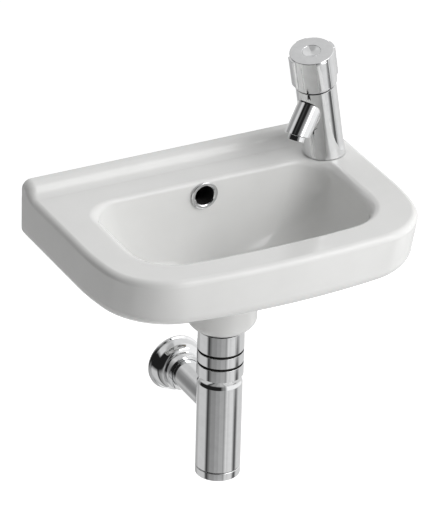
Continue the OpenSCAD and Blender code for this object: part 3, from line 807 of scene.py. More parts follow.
@dataclass
class Basin:
    """The china casting, drawn as one skin in millimetres below the rim."""

    width: float = 360.0
    depth: float = 248.0
    skirt_h: float = 55.0
    front_bow: float = 1150.0
    foot_bow: float = 770.0
    corner: float = 71.0
    foot_corner: float = 80.0
    side_bow: float = 280.0
    side_turn: float = 80.0
    rim_round: float = 7.0
    skirt_round: float = 14.5
    skirt_draft: float = 1.2
    skirt_t: float = 17.0
    deck_t: float = 12.0
    inner_slope: float = 2.0
    inner_round: float = 3.0
    bowl_t: float = 8.5
    bowl_w: float = 264.0
    bowl_back: float = 57.0
    bowl_front: float = 208.0
    bowl_back_r: float = 32.0
    bowl_corner: float = 44.0
    bowl_bend_more: float = 60.0
    bowl_depth: float = 91.0
    back_edge: float = 5.0
    side_edge: float = 12.0
    front_edge: float = 8.0
    waste_hole: float = 22.0
    waste_seat: float = 34.0
    waste_seat_h: float = 2.0
    seat_edge: float = 2.0
    boss: float = 37.0
    boss_mouth: float = 25.5
    boss_round: float = 12.0
    boss_drop: float = 146.5
    boss_inset: float = 1.0
    neck_h: float = 9.0
    foot_curve: float = 1.5
    foot_ease: float = 1.6
    ledge_h: float = 13.0
    ledge_d: float = 27.0
    ledge_nose: float = 10.0
    ledge_flat: float = 6.0
    ledge_inset: float = 0.2
    sunk: float = 0.15
    back_clear: float = 0.03
    plate_t: float = 14.0
    plate_w: float = 236.0
    plate_below: float = 23.0
    plate_r: float = 20.0
    rib_reach: float = 5.0
    rib_foot: float = 6.5
    rib_round: float = 2.5
    slot_share: float = 0.42
    slot_in: float = 1.5
    sump: float = 0.5
    into_hole: float = 6.0
    mouth_lip: float = 1.5
    mouth_margin: float = 0.4
    duct_margin: float = 0.2
    duct_below: float = 5.0
    bolt_spacing: float = 180.0
    bolt_hole: float = 6.0
    tap_hole: float = 14.0
    overflow_hole: float = 12.0
    duct_r: float = 7.5
    duct_back: float = 33.0
    duct_wall: float = 7.0
    back_steps: int = 14
    side_steps: int = 24
    bend_steps: int = 10
    corner_steps: int = 20
    bow_steps: int = 20
    wall_steps: int = 26
    round_steps: int = 9
    face_steps: int = 4
    neck_steps: int = 8
    foot_steps: int = 12
    ledge_spans: int = 6
    ledge_end_steps: int = 10
    ledge_steps: int = 12
    plate_steps: int = 12
    full_inset: float = 0.999

    def front_arcs(
        self, half: float, front: float, bow: float, corner: float, bend: float, turn: float
    ) -> list[Corner]:
        """Draws the front half of a D-shaped outline: a side bend, a corner and a bowed front.

        Args:
            half: Half of the outline's width.
            front: Place of the front in Y.
            bow: Radius of the front.
            corner: Radius of the corner.
            bend: Radius of the bend that leads out of the side.
            turn: Direction where the bend meets the corner, in degrees.

        Returns:
            Points from the side to the middle of the front.
        """
        lean = (half - bend - (corner - bend) * math.sin(math.radians(turn))) / (bow - corner)
        first = math.degrees(math.asin(lean))
        bow_centre = (0.0, front + bow)
        corner_centre = arc_point(bow_centre, bow - corner, first)
        bend_centre = arc_point(corner_centre, corner - bend, turn)
        points = []
        for centre, radius, start, end, steps in (
            (bend_centre, bend, 90, turn, self.bend_steps),
            (corner_centre, corner, turn, first, self.corner_steps),
            (bow_centre, bow, first, 0, self.bow_steps),
        ):
            points += [arc_point(centre, radius, mix(start, end, k / steps)) for k in range(steps)]
        return [*points, arc_point(bow_centre, bow, 0)]

    def rim_half(self, inset: float, back: float, foot: float) -> list[Corner]:
        """Draws half of the rim's outline.

        Args:
            inset: Distance that it is drawn in.
            back: Place of its back in Y.
            foot: 0 for the outline at the rim, 1 for that at the foot.

        Returns:
            Points from the middle of the back to the middle of the front.
        """
        side = self.width / 2 - inset
        bow = mix(self.front_bow, self.foot_bow, foot) - inset
        corner = mix(self.corner, self.foot_corner, foot) - inset
        front = inset + self.skirt_draft * foot - self.depth
        arcs = self.front_arcs(side, front, bow, corner, self.side_bow - inset, self.side_turn)
        points = [(side * k / self.back_steps, back) for k in range(self.back_steps)]
        points += [(side, mix(back, arcs[0][1], k / self.side_steps)) for k in range(self.side_steps)]
        return points + arcs

    def bowl_half(self, out: float) -> list[Corner]:
        """Draws half of the bowl's outline.

        Args:
            out: Distance that it is grown by.

        Returns:
            Points from the middle of the back to the middle of the front.
        """
        half = self.bowl_w / 2 + out
        back = out - self.bowl_back
        back_corner = self.bowl_back_r + out
        corner = self.bowl_corner + out
        bow = self.front_bow + out
        bend = corner + self.bowl_bend_more
        arcs = self.front_arcs(half, -self.bowl_front - out, bow, corner, bend, self.side_turn)
        steps = self.side_steps // 2
        centre = (half - back_corner, back - back_corner)
        points = [(centre[0] * k / self.back_steps, back) for k in range(self.back_steps)]
        points += [arc_point(centre, back_corner, 180 - 90 * k / steps) for k in range(steps)]
        points += [(half, mix(centre[1], arcs[0][1], k / steps)) for k in range(steps)]
        return points + arcs

    def waste_half(self, radius: float) -> list[Corner]:
        """Draws half of a circle round the waste.

        Args:
            radius: Radius of the circle.

        Returns:
            Points that lie towards those of the bowl's outline.
        """
        points = []
        for x, y in self.bowl_half(0):
            way = y + LAYOUT.waste_back
            share = radius / math.hypot(x, way)
            points.append((x * share, way * share - LAYOUT.waste_back))
        return points

    def whole(self, half: list[Corner], z: float) -> Ring:
        """Returns the whole ring of half an outline at a height."""
        return [(x, y, z) for x, y in half] + [(-x, y, z) for x, y in half[-2:0:-1]]

    def blended(self, outer: list[Corner], inner: list[Corner], share: float, z: float) -> Ring:
        """Returns the ring between two half outlines at a height."""
        pairs = zip(outer, inner)
        return self.whole([(mix(a[0], b[0], share), mix(a[1], b[1], share)) for a, b in pairs], z)

    def wall_turns(self) -> list[float]:
        """Returns the angles along the section of the bowl's wall."""
        return [math.pi / 2 * k / self.wall_steps for k in range(self.wall_steps + 1)]

    def round_turns(self) -> list[float]:
        """Returns the angles along a rounding."""
        return [math.pi / 2 * k / self.round_steps for k in range(self.round_steps + 1)]

    def bowl_rings(self) -> list[Ring]:
        """Draws the bowl from the waste seat up to its rounded edge.

        Returns:
            Its rings.
        """
        seat_z = -self.bowl_depth - self.waste_seat_h
        top = self.bowl_half(0)
        bottom = self.waste_half(self.waste_seat + self.seat_edge)
        rounds = self.edge_rounds()
        rings = [self.whole(self.waste_half(r), seat_z) for r in (self.waste_hole, self.waste_seat)]
        for turn in reversed(self.wall_turns()):
            ring = self.blended(top, bottom, 1 - math.cos(turn), 0)
            drops = [r + (self.bowl_depth - r) * math.sin(turn) for r in rounds]
            rings.append([(x, y, -drop) for (x, y, _), drop in zip(ring, drops)])
        for turn in self.round_turns()[1:]:
            outs = [self.bowl_half(r * (1 - math.cos(turn))) for r in rounds[: len(top)]]
            ring = self.whole([out[k] for k, out in enumerate(outs)], 0)
            rings.append([(x, y, r * (math.sin(turn) - 1)) for (x, y, _), r in zip(ring, rounds)])
        return rings

    def edge_rounds(self) -> list[float]:
        """Shapes the edge of the bowl, which is widest at the sides.

        Returns:
            Radius of the edge at each point of the bowl's ring.
        """
        inner, outer = self.bowl_half(0), self.bowl_half(1)
        half = []
        for (x0, y0), (x1, y1) in zip(inner, outer):
            side, ahead = x1 - x0, y1 - y0
            edge = self.back_edge if ahead > 0 else self.front_edge
            half.append(mix(edge, self.side_edge, side**2 / (side**2 + ahead**2)))
        return half + half[-2:0:-1]

    def skirt_rings(self) -> list[Ring]:
        """Draws the skin over the rim, down the skirt and up inside it.

        Returns:
            Its rings.
        """
        turns = self.round_turns()
        rim_r, foot_r = self.rim_round, self.skirt_round
        over = [
            (self.rim_half(rim_r * (1 - math.sin(t)), 0, 0), rim_r * (math.cos(t) - 1)) for t in turns
        ]
        under = [
            (self.rim_half(foot_r * (1 - math.cos(t)), 0, 1), foot_r * (1 - math.sin(t)) - self.skirt_h)
            for t in turns
        ]
        rings = [self.whole(half, z) for half, z in over]
        (rim, rim_z), (foot, foot_z) = over[-1], under[0]
        for step in range(1, self.face_steps):
            share = step / self.face_steps
            rings.append(self.blended(rim, foot, share, mix(rim_z, foot_z, share)))
        rings += [self.whole(half, z) for half, z in under]
        inside = self.skirt_t - self.inner_slope
        back = -self.plate_t
        round_in = self.inner_round
        rings.append(self.whole(self.rim_half(self.skirt_t, back, 1), -self.skirt_h))
        rings.append(self.whole(self.rim_half(inside, back, 1), -self.deck_t - round_in))
        rings.append(self.whole(self.rim_half(inside + round_in, back - round_in, 1), -self.deck_t))
        return rings

    def under_rings(self) -> list[Ring]:
        """Draws the bowl's underside, its neck and the boss down to the bore.

        Returns:
            Their rings.
        """
        boss_top = self.bowl_depth + self.bowl_t
        floor = self.waste_seat + self.seat_edge + self.bowl_t - self.boss_inset
        top = self.bowl_half(self.bowl_t)
        bottom = self.waste_half(floor)
        drop = boss_top - self.deck_t
        rings = [
            self.blended(top, bottom, 1 - math.cos(turn), -self.deck_t - drop * math.sin(turn))
            for turn in self.wall_turns()
        ]
        for step in range(1, self.neck_steps + 1):
            turn = math.pi / 2 * step / self.neck_steps
            radius = mix(floor, self.boss, math.sin(turn))
            z = -boss_top - self.neck_h * (1 - math.cos(turn))
            rings.append(self.whole(self.waste_half(radius), z))
        for step in range(self.foot_steps + 1):
            up = (1 - step / self.foot_steps) ** self.foot_ease
            out = (1 - (1 - up) ** self.foot_curve) ** (1 / self.foot_curve)
            radius = mix(self.boss_mouth, self.boss, out)
            rings.append(self.whole(self.waste_half(radius), self.boss_round * up - self.boss_drop))
        for z in (-self.boss_drop, mix(-self.boss_drop, -self.bowl_depth, 0.5)):
            rings.append(self.whole(self.waste_half(self.waste_hole), z))
        return rings

    def ledge_section(self, x: float, inset: float) -> Ring:
        """Draws the ledge's section at a place along the wall.

        Args:
            x: That place.
            inset: Distance that the section is drawn in at the ledge's ends.

        Returns:
            The section as a ring.
        """
        nose_r = self.ledge_nose - inset
        nose = (-self.ledge_flat, self.ledge_h - self.ledge_nose)
        over = max(0.0, abs(x) - self.width / 2 + self.rim_round)
        foot = self.rim_round - math.sqrt(self.rim_round**2 - over**2) + self.sunk
        reach = self.ledge_d - self.ledge_flat
        rise = nose[1] + foot
        cove_r = (reach**2 + rise**2 - nose_r**2) / (2 * (nose_r + rise))
        cove = (-self.ledge_d, cove_r - foot)
        meet = math.atan2(nose[1] - cove[1], nose[0] - cove[0])
        root = -self.deck_t / 2
        section = [(-self.back_clear, root), (-self.back_clear, nose[1] + nose_r)]
        for centre, radius, start, end, first in (
            (nose, nose_r, math.pi / 2, meet + math.pi, 0),
            (cove, cove_r, meet, -math.pi / 2, 1),
        ):
            for step in range(first, self.ledge_steps + 1):
                turn = mix(start, end, step / self.ledge_steps)
                y, z = radius * math.cos(turn), radius * math.sin(turn)
                section.append((centre[0] + y, centre[1] + z))
        section.append((-self.ledge_d, root))
        return [(x, y, z) for y, z in section]

    def ledge(self) -> Piece:
        """Builds the raised ledge along the wall, with rounded ends.

        Returns:
            The ledge.
        """
        side = self.width / 2 - self.ledge_inset
        straight = side - self.ledge_nose
        stations = [(straight * k / self.ledge_spans, 0.0) for k in range(self.ledge_spans)]
        for step in range(self.ledge_end_steps + 1):
            turn = math.pi / 2 * step / self.ledge_end_steps
            inset = self.ledge_nose * (1 - math.cos(turn)) * self.full_inset
            stations.append((straight + self.ledge_nose * math.sin(turn), inset))
        both = [(-x, inset) for x, inset in reversed(stations[1:])] + stations
        sections = [self.ledge_section(x, inset) for x, inset in both]
        return draw_skin("ledge", sections, shift(0, 0, RIM))

    def wall_plate(self) -> Piece:
        """Builds the plate behind the bowl that the wall bolts go through.

        Returns:
            The plate.
        """
        low = -(RIM + self.plate_below)
        high = -self.deck_t / 2
        half = self.plate_w / 2
        outline = [(half, high), (half, low + self.plate_r)]
        for side in (1, -1):
            for step in range(1, self.plate_steps):
                share = step / self.plate_steps
                turn = math.pi / 2 * (share if side > 0 else 1 - share)
                x = side * (half - self.plate_r + self.plate_r * math.cos(turn))
                outline.append((x, low + self.plate_r - self.plate_r * math.sin(turn)))
        outline += [(-half, low + self.plate_r), (-half, high)]
        rings = [[(x, y, z) for x, z in outline] for y in (-self.back_clear, -self.plate_t)]
        return draw_skin("wall_plate", rings, shift(0, 0, RIM))

    def slot_drop(self) -> float:
        """Returns the depth of the slot between the duct and the waste hole."""
        return mix(self.bowl_depth + self.bowl_t, self.boss_drop, self.slot_share)

    def duct_rib(self) -> Piece:
        """Builds the rib at the back of the bowl that holds the overflow's duct.

        Returns:
            The rib.
        """
        low = -self.slot_drop() - self.duct_r - self.rib_foot
        floor = self.waste_seat + self.seat_edge - LAYOUT.waste_back
        drop = self.bowl_depth - self.back_edge
        section = [(-self.plate_t / 2, -self.back_edge)]
        for turn in self.wall_turns()[:-1]:
            y = mix(-self.bowl_back, floor, 1 - math.cos(turn)) + self.bowl_t / 2
            section.append((y, -self.back_edge - drop * math.sin(turn)))
        reach = self.waste_hole + self.rib_reach - LAYOUT.waste_back
        heel = self.duct_r + self.duct_wall - self.duct_back
        section += [
            (floor - self.bowl_t / 2, -self.bowl_depth - self.bowl_t / 2),
            (reach, -self.bowl_depth - self.bowl_t),
            (reach, low),
            (heel - self.duct_wall, low),
            (-self.plate_t / 2, self.bowl_t - self.bowl_depth),
        ]
        half = self.duct_r + self.duct_wall
        rings = [[(x, y, z) for y, z in section] for x in (-half, half)]
        rib = draw_skin("duct_rib", rings, shift(0, 0, RIM))
        with editing(rib):
            soften(self.rib_round, MACHINED)
        return rib

    def build(self, shop: Workshop) -> None:
        """Builds the casting and dresses it.

        Args:
            shop: The workshop that dresses it.
        """
        rings = self.bowl_rings() + self.skirt_rings() + self.under_rings()
        casting = draw_skin("basin_china", rings, shift(0, 0, RIM), looped=True)
        for part in (self.ledge(), self.wall_plate(), self.duct_rib()):
            combine(casting, part, "UNION")
        drill(casting, LAYOUT.tap(), -self.deck_t - OVERRUN, OVERRUN, self.tap_hole)
        mouth, mouth_low = LAYOUT.overflow(), self.duct_back - self.bowl_back
        drill(casting, mouth, mouth_low, self.into_hole, self.overflow_hole)
        for side in (-1, 1):
            bolt = shift(side * self.bolt_spacing / 2, 0, 0) @ swing(90, "X")
            drill(casting, bolt, -OVERRUN, self.plate_t + OVERRUN, self.bolt_hole, sides=32)
        duct, drop = shift(0, -self.duct_back, RIM), self.slot_drop()
        duct_low, duct_high = -drop - self.duct_r + self.sump, -LAYOUT.overflow_drop + self.into_hole
        drill(casting, duct, duct_low, duct_high, self.duct_r, sides=32)
        slot = shift(0, -self.duct_back, RIM - drop) @ swing(90, "X")
        slot_l = LAYOUT.waste_back - self.duct_back - self.waste_hole + self.into_hole
        drill(casting, slot, 0, slot_l, self.duct_r - self.slot_in, sides=32)
        shop.dress(casting, Finish.CHINA, "basin_body")
        # Painted shade inside the overflow hole and the duct behind it.
        shop.paint_shade_inside(
            casting,
            Hollow(
                mouth, mouth_low - self.duct_r, -self.mouth_lip, self.overflow_hole + self.mouth_margin
            ),
            Hollow(duct, -drop - self.duct_below, 0, self.duct_r + self.duct_margin),
        )


# ---------------------------------------------------------------- waste and trap


@dataclass
class Trap:
    """Waste, nuts, bottle, outlet pipe and rosette, in millimetres below the rim."""

    seat: float = 93.0
    seal_t: float = 1.5
    flange_t: float = 2.5
    thread_r: float = 20.95
    plug_r: float = 19.4
    plug_t: float = 3.0
    tail_drop: float = 176.0
    nut_r: float = 24.6
    boss_drop: float = 146.5
    under_seal_t: float = 1.2
    union_top: float = 171.4
    groove_h: float = 2.6
    groove_in: float = 2.4
    body_nut_top: float = 186.0
    nut_gap: float = 0.2
    nut_step: float = 1.2
    shade_in: float = 0.4
    sides: int = 128
    pipe_sides: int = 96
    round_steps: int = 8
    bottle_r: float = 23.9
    bottle_t: float = 1.5
    bottle_top: float = 202.3
    waist_h: float = 9.7
    waist_in: float = 1.4
    neck_r: float = 21.3
    neck_top: float = 195.0
    cap_joint: float = 311.2
    cap_h: float = 9.8
    cap_seal_t: float = 0.8
    pipe_r: float = 16.0
    pipe_t: float = 1.0
    outlet_in_wall: float = 18.0
    rosette_r: float = 31.5
    rosette_d: float = 27.0
    rosette_neck_r: float = 20.5
    rosette_rim_t: float = 2.2
    rosette_step_t: float = 1.2
    rosette_cone_d: float = 14.0
    rosette_gap: float = 0.2
    braze_gap: float = 0.05
    thread_gap: float = 0.1
    pipe_gap: float = 0.2
    union_floor: float = 4.0
    collar_floor: float = 3.5
    shoulder_t: float = 3.0
    cap_flat_in: float = 5.0
    spigot_h: float = 8.0
    spigot_wall: float = 2.0
    cap_floor_t: float = 3.0
    pipe_into: float = 2.2
    seam: tuple[float, float] = (1.5, 2.1)
    seam_in: float = 0.3
    plug_below: float = 0.4
    plug_flat: float = 0.55
    plug_edge: tuple[Corner, Corner] = ((1.2, 0.25), (0.2, 1.0))
    plug_socket_r: float = 2.05
    plug_socket_h: float = 1.55

    def turned(self, name: str, corners: Sequence[Corner], edge: float = 0.35) -> Piece:
        """Returns a piece turned round the waste's axis."""
        return turn_on_lathe(name, corners, LAYOUT.waste(), self.sides, edge)

    def waste_nut(self) -> Piece:
        """Builds the nut right under the china.

        Returns:
            The nut.
        """
        top, low = -self.boss_drop - self.under_seal_t, -self.union_top + self.nut_gap
        bore = self.thread_r + self.thread_gap
        step, step_r = top - self.nut_step, self.nut_r - self.nut_step
        corners = [
            (bore, low), (self.nut_r, low), (self.nut_r, step),
            (step_r, step), (step_r, top), (bore, top),
        ]
        return self.turned("waste_nut", corners, edge=0.3)

    def grooved(
        self, name: str, ends: Corner, ledge: float, lower: float, upper: float
    ) -> Piece:
        """Builds a nut with a groove round its top.

        Args:
            name: Name of the nut.
            ends: Heights of its two ends, the lower one first.
            ledge: Height of the step in its bore.
            lower: Radius of the bore below that step.
            upper: Radius of the bore above it.

        Returns:
            The nut.
        """
        low, top = ends
        groove, waist = top - self.groove_h, self.nut_r - self.groove_in
        corners = [
            (lower, low), (self.nut_r, low), (self.nut_r, groove), (waist, groove),
            (waist, top), (upper, top), (upper, ledge), (lower, ledge),
        ]
        return self.turned(name, corners)

    def union(self) -> Piece:
        """Builds the nut that holds the dip tube to the waste.

        Returns:
            The nut.
        """
        ends = -self.body_nut_top + self.nut_gap, -self.union_top
        bore, lip = self.thread_r + self.thread_gap, self.pipe_r + self.pipe_gap
        return self.grooved("union_nut_turned", ends, -self.tail_drop - self.union_floor, lip, bore)

    def collar(self) -> Piece:
        """Builds the nut that clamps the dip tube in the bottle.

        Returns:
            The nut.
        """
        ends = -self.bottle_top + self.nut_gap, -self.body_nut_top
        bore, lip = self.neck_r + self.thread_gap, self.pipe_r + self.pipe_gap
        return self.grooved("bottle_collar", ends, -self.body_nut_top - self.collar_floor, bore, lip)

    def bottle(self) -> Piece:
        """Builds the bottle with its waist, its neck and the hole for the outlet.

        Returns:
            The bottle.
        """
        top, low = -self.bottle_top, -self.cap_joint
        waist_low = top - self.waist_h
        inner = self.bottle_r - self.bottle_t
        narrow, lip, under = inner - self.waist_in, self.pipe_r + self.pipe_gap, top - self.shoulder_t
        corners = [(inner, low), (self.bottle_r, low), (self.bottle_r, waist_low)]
        for step in range(1, self.round_steps):
            turn = math.pi * step / self.round_steps
            radius = self.bottle_r - self.waist_in * math.sin(turn)
            corners.append((radius, waist_low + self.waist_h * step / self.round_steps))
        corners += [
            (self.bottle_r, top), (self.neck_r, top), (self.neck_r, -self.neck_top),
            (lip, -self.neck_top), (lip, under), (narrow, under),
            (narrow, waist_low - self.bottle_t), (inner, waist_low - self.bottle_t),
        ]
        bottle = self.turned("trap_bottle", corners, edge=0.3)
        back, hole = LAYOUT.waste_back, self.pipe_r + self.braze_gap
        high = self.bottle_r + 2 * OVERRUN - back
        drill(bottle, LAYOUT.outlet(), -back, high, hole, self.pipe_sides)
        return bottle

    def cup(self) -> Piece:
        """Builds the screwed cap at the bottom of the bottle.

        Returns:
            The cap.
        """
        top, low = -self.cap_joint - self.cap_seal_t, -self.cap_joint - self.cap_h
        spigot = self.bottle_r - self.bottle_t - self.thread_gap
        spigot_top, floor = -self.cap_joint + self.spigot_h, low + self.cap_floor_t
        inner = spigot - self.spigot_wall
        corners = [
            (CENTRE_R, low), (self.bottle_r - self.cap_flat_in, low), (self.bottle_r, low),
            (self.bottle_r, top), (spigot, top), (spigot, spigot_top),
            (inner, spigot_top), (inner, floor), (CENTRE_R, floor),
        ]
        return turn_on_lathe("bottle_cup", corners, LAYOUT.waste(), self.sides, edge=0.8, bored=False)

    def pipe(self) -> Piece:
        """Builds the outlet pipe from the bottle into the wall.

        Returns:
            The pipe.
        """
        start = self.bottle_r - LAYOUT.waste_back - self.pipe_into
        inner, in_seam = self.pipe_r - self.pipe_t, self.pipe_r - self.seam_in
        low, high = self.seam
        end = self.outlet_in_wall
        corners = [
            (inner, start), (self.pipe_r, start), (self.pipe_r, low), (in_seam, low),
            (in_seam, high), (self.pipe_r, high), (self.pipe_r, end), (inner, end),
        ]
        return turn_on_lathe("outlet_tube", corners, LAYOUT.outlet(), self.pipe_sides, edge=0.12)

    def rosette(self) -> Piece:
        """Builds the rosette: a thin flange, a rounded cone and a neck round the pipe.

        Returns:
            The rosette.
        """
        neck, r, rim = self.rosette_neck_r, self.rosette_r, self.rosette_rim_t
        lip, step_z = self.pipe_r + self.pipe_gap, rim + self.rosette_step_t
        corners = [(lip, 0), (r, 0), (r, -rim), (r - rim, -step_z)]
        cone_r, cone_z = r - rim - self.rosette_gap, -step_z - self.rosette_gap
        for step in range(1, self.round_steps + 1):
            turn = math.pi / 2 * step / self.round_steps
            radius = mix(cone_r, neck, 1 - math.cos(turn))
            corners.append((radius, cone_z - self.rosette_cone_d * math.sin(turn)))
        corners += [(neck, -self.rosette_d), (lip, -self.rosette_d)]
        return turn_on_lathe("wall_rosette_turned", corners, LAYOUT.outlet(), self.sides, edge=0.5)

    def plug(self) -> Piece:
        """Builds the button of the plug.

        Returns:
            The button.
        """
        top = -self.seat + self.seal_t + self.flange_t - self.plug_below
        low = top - self.plug_t
        socket_r, socket = self.plug_socket_r, low + self.plug_socket_h
        corners = [(CENTRE_R, top), (self.plug_r * self.plug_flat, top)]
        corners += [(self.plug_r - inset, top - drop) for inset, drop in self.plug_edge]
        corners += [(self.plug_r, low), (socket_r, low), (socket_r, socket), (CENTRE_R, socket)]
        place, sides = LAYOUT.waste(), self.pipe_sides
        return turn_on_lathe("plug_button", corners, place, sides, edge=0.25, bored=False)

    def build(self, shop: Workshop) -> None:
        """Builds the pieces below the basin and dresses them.

        Args:
            shop: The workshop that dresses them.
        """
        for nut, node, top, deep in (
            (self.waste_nut(), "waste_backnut", -self.boss_drop - self.under_seal_t, self.nut_step),
            (self.union(), "union_nut", -self.union_top, self.groove_h),
            (self.collar(), "body_nut", -self.body_nut_top, self.groove_h),
        ):
            shop.dress(nut, Finish.CHROME, node)
            # Painted shade: each nut's top groove is near-black in place of its shadow.
            low, high = top - deep - MARGIN, top + MARGIN
            shop.paint_shade_inside(nut, Hollow(LAYOUT.waste(), low, high, self.nut_r - self.shade_in))
        for piece, node in (
            (self.bottle(), "trap_body"),
            (self.cup(), "bottom_cap"),
            (self.pipe(), "outlet_pipe"),
            (self.rosette(), "wall_rosette"),
        ):
            shop.dress(piece, Finish.CHROME, node)
        shop.dress(self.plug(), Finish.CHROME, "plug_cap", body=Body.PLUG)


# ---------------------------------------------------------------- tap


@dataclass
class Tap:
    """Column, spout, aerator and turning handle of the tap, in millimetres."""

    column_r: float = 21.4
    foot_r: float = 22.6
    foot_l: float = 14.0
    foot_steps: int = 6
    foot_ease: float = 0.7
    foot_spread: float = 1.5
    foot_round: float = 0.7
    below_deck: float = 12.0
    column_l: float = 92.4
    column_steps: int = 24
    sides: int = 144
    small_sides: int = 96
    shade_in: float = 0.5
    base_seal_t: float = 0.8
    spout_r: float = 13.4
    spout_wall: float = 3.6
    spout_sides: int = 96
    spout_steps: int = 4
    root_fillet: float = 3.0
    fillet_steps: int = 9
    fillet_into: float = 0.25
    into_column: float = 0.12
    root_share: float = 0.6
    root_high: float = 12.0
    mouth_round: float = 0.5
    chamber_r: float = 13.4
    chamber_low: float = 43.0
    spout_bore_low: float = 6.0
    tail_r: float = 10.58
    tail_deep: float = 14.0
    aerator_r: float = 8.8
    aerator_out: float = 6.6
    aerator_sleeve: float = 6.5
    aerator_wall: float = 2.3
    sleeve_in: float = 1.0
    seat_in: float = 0.9
    handle_l: float = 39.6
    handle_r: float = 22.9
    handle_wall: float = 3.4
    shadow_gap: float = 0.8
    joint_l: float = 1.5
    joint_in: float = 1.0
    lug_r: float = 25.0
    lug_w: float = 12.0
    lug_slope: float = 4.0
    lug_count: int = 4
    lug_turn: float = 59.0
    lug_steps: int = 8
    lug_above: float = 0.5
    lug_below: float = 1.2
    lug_into: float = 2.0
    lug_root_in: float = 0.4
    lug_belly: float = 0.55
    lug_round: float = 0.8
    index_r: float = 9.5
    index_gap: float = 0.05
    index_seat: float = 4.0
    index_top: float = 0.3
    index_low: float = 3.9
    dish_ball: float = 20.0
    dish_rim: float = 0.8
    dish_centre_r: float = 0.4
    dish_steps: int = 7
    cup_top: float = 116.9
    hub_r: float = 8.0
    hub_ends: Corner = (97.9, 98.9)
    spindle_r: float = 4.05
    screw_r: float = 2.45
    screw_head_r: float = 5.0
    screw_head_l: float = 4.5

    def column_solid(self) -> Piece:
        """Builds the leaning column, cut level at its foot.

        Returns:
            The column.
        """
        top, joint_r = self.column_l - self.joint_l, self.column_r - self.joint_in
        corners = [(mix(self.column_r, self.foot_r, self.foot_spread), -self.below_deck)]
        for step in range(1, self.foot_steps + 1):
            share = (step / self.foot_steps) ** self.foot_ease
            z = self.foot_l * step / self.foot_steps
            corners.append((mix(self.foot_r, self.column_r, share), z))
        for step in range(1, self.column_steps + 1):
            corners.append((self.column_r, mix(self.foot_l, top, step / self.column_steps)))
        corners += [(joint_r, top), (joint_r, self.column_l)]
        place = LAYOUT.column()
        column = turn_on_lathe("tap_casting", corners, place, self.sides, edge=0.0, bored=False)
        level = (0, 0, (RIM + self.base_seal_t) * MM)
        with editing(column):
            bpy.ops.mesh.select_all(action="SELECT")
            bpy.ops.mesh.bisect(plane_co=level, plane_no=(0, 0, 1), clear_inner=True, use_fill=True)
            soften(self.foot_round, MACHINED)
        return column

    def spout_rings(self) -> list[Ring]:
        """Draws the spout, which flares into the column at its root.

        The flare is the path of a ball that rolls in the corner of spout and column. The
        rings are in the spout's frame, and the column's axis passes through its origin.

        Returns:
            The rings of the spout.
        """
        lean = math.radians(90 + LAYOUT.spout_fall - LAYOUT.tap_lean)
        along, up = Vector((-math.sin(lean), 0, math.cos(lean))), Vector((0, 0, 1))
        way = up - along * along.z
        ball = self.root_fillet
        arcs: list[list[Vector]] = []
        for side in range(self.spout_sides):
            turn = 2 * math.pi * side / self.spout_sides
            out = Vector((math.cos(turn), math.sin(turn), 0))
            near = out * (self.spout_r + ball)
            flat = near - along * near.dot(along)
            a, b = way.dot(way), flat.dot(way)
            c = flat.dot(flat) - (self.column_r + ball - self.into_column) ** 2
            reach = (-b + math.sqrt(b * b - a * c)) / a
            centre = near + Vector((0, 0, reach))
            foot = along * centre.dot(along)
            to_column = (foot - centre).normalized()
            start = math.atan2(to_column.z, to_column.dot(-out)) - self.fillet_into
            points = []
            for step in range(self.fillet_steps + 1):
                bend = mix(start, 0.0, step / self.fillet_steps)
                points.append(centre + (-out * math.cos(bend) + up * math.sin(bend)) * ball)
            arcs.append(points)
        root, high = self.root_share, self.root_high
        rings: list[Ring] = [[(p.x * root, p.y * root, min(p.z, high)) for p, *_ in arcs]]
        rings += [[tuple(arc[step]) for arc in arcs] for step in range(self.fillet_steps + 1)]
        tip = LAYOUT.spout_l + self.spout_r
        for step in range(1, self.spout_steps + 1):
            share = step / self.spout_steps
            rings.append([(p.x, p.y, mix(p.z, tip, share)) for *_, p in arcs])
        return rings

    def spout_solid(self) -> Piece:
        """Builds the spout, cut off at the slant of its mouth, with that edge rounded.

        Returns:
            The spout.
        """
        spout = draw_skin("spout", self.spout_rings(), LAYOUT.spout())
        mouth = LAYOUT.mouth().to_translation()
        axis = LAYOUT.mouth().to_3x3() @ Vector((0, 0, 1))
        with editing(spout):
            bpy.ops.mesh.select_all(action="SELECT")
            bpy.ops.mesh.bisect(plane_co=mouth, plane_no=axis, clear_outer=True, use_fill=True)
            bpy.ops.mesh.select_mode(type="EDGE")
            bpy.ops.mesh.select_all(action="DESELECT")
            mesh = bmesh.from_edit_mesh(spout.data)
            for edge in mesh.edges:
                edge.select = all(abs((v.co - mouth).dot(axis)) < ON_PLANE for v in edge.verts)
            bmesh.update_edit_mesh(spout.data)
            bpy.ops.mesh.bevel(offset=self.mouth_round * MM, segments=3, clamp_overlap=True)
        return spout

    def casting(self) -> Piece:
        """Builds the tap's casting, bored for the headwork, the water and the aerator.

        Returns:
            The casting.
        """
        casting = combine(self.column_solid(), self.spout_solid(), "UNION")
        wall, foot = self.spout_wall, self.base_seal_t
        collar = self.aerator_sleeve + wall
        for place, low, high, radius in (
            (LAYOUT.column(), self.chamber_low, self.column_l + OVERRUN, self.chamber_r),
            (LAYOUT.spout(), self.spout_bore_low, LAYOUT.spout_l - collar, self.spout_r - wall),
            (LAYOUT.mouth(), -collar - wall, OVERRUN, self.aerator_r - self.seat_in),
            (LAYOUT.tap(), foot - OVERRUN, foot + self.tail_deep, self.tail_r),
        ):
            drill(casting, place, low, high, radius)
        return casting

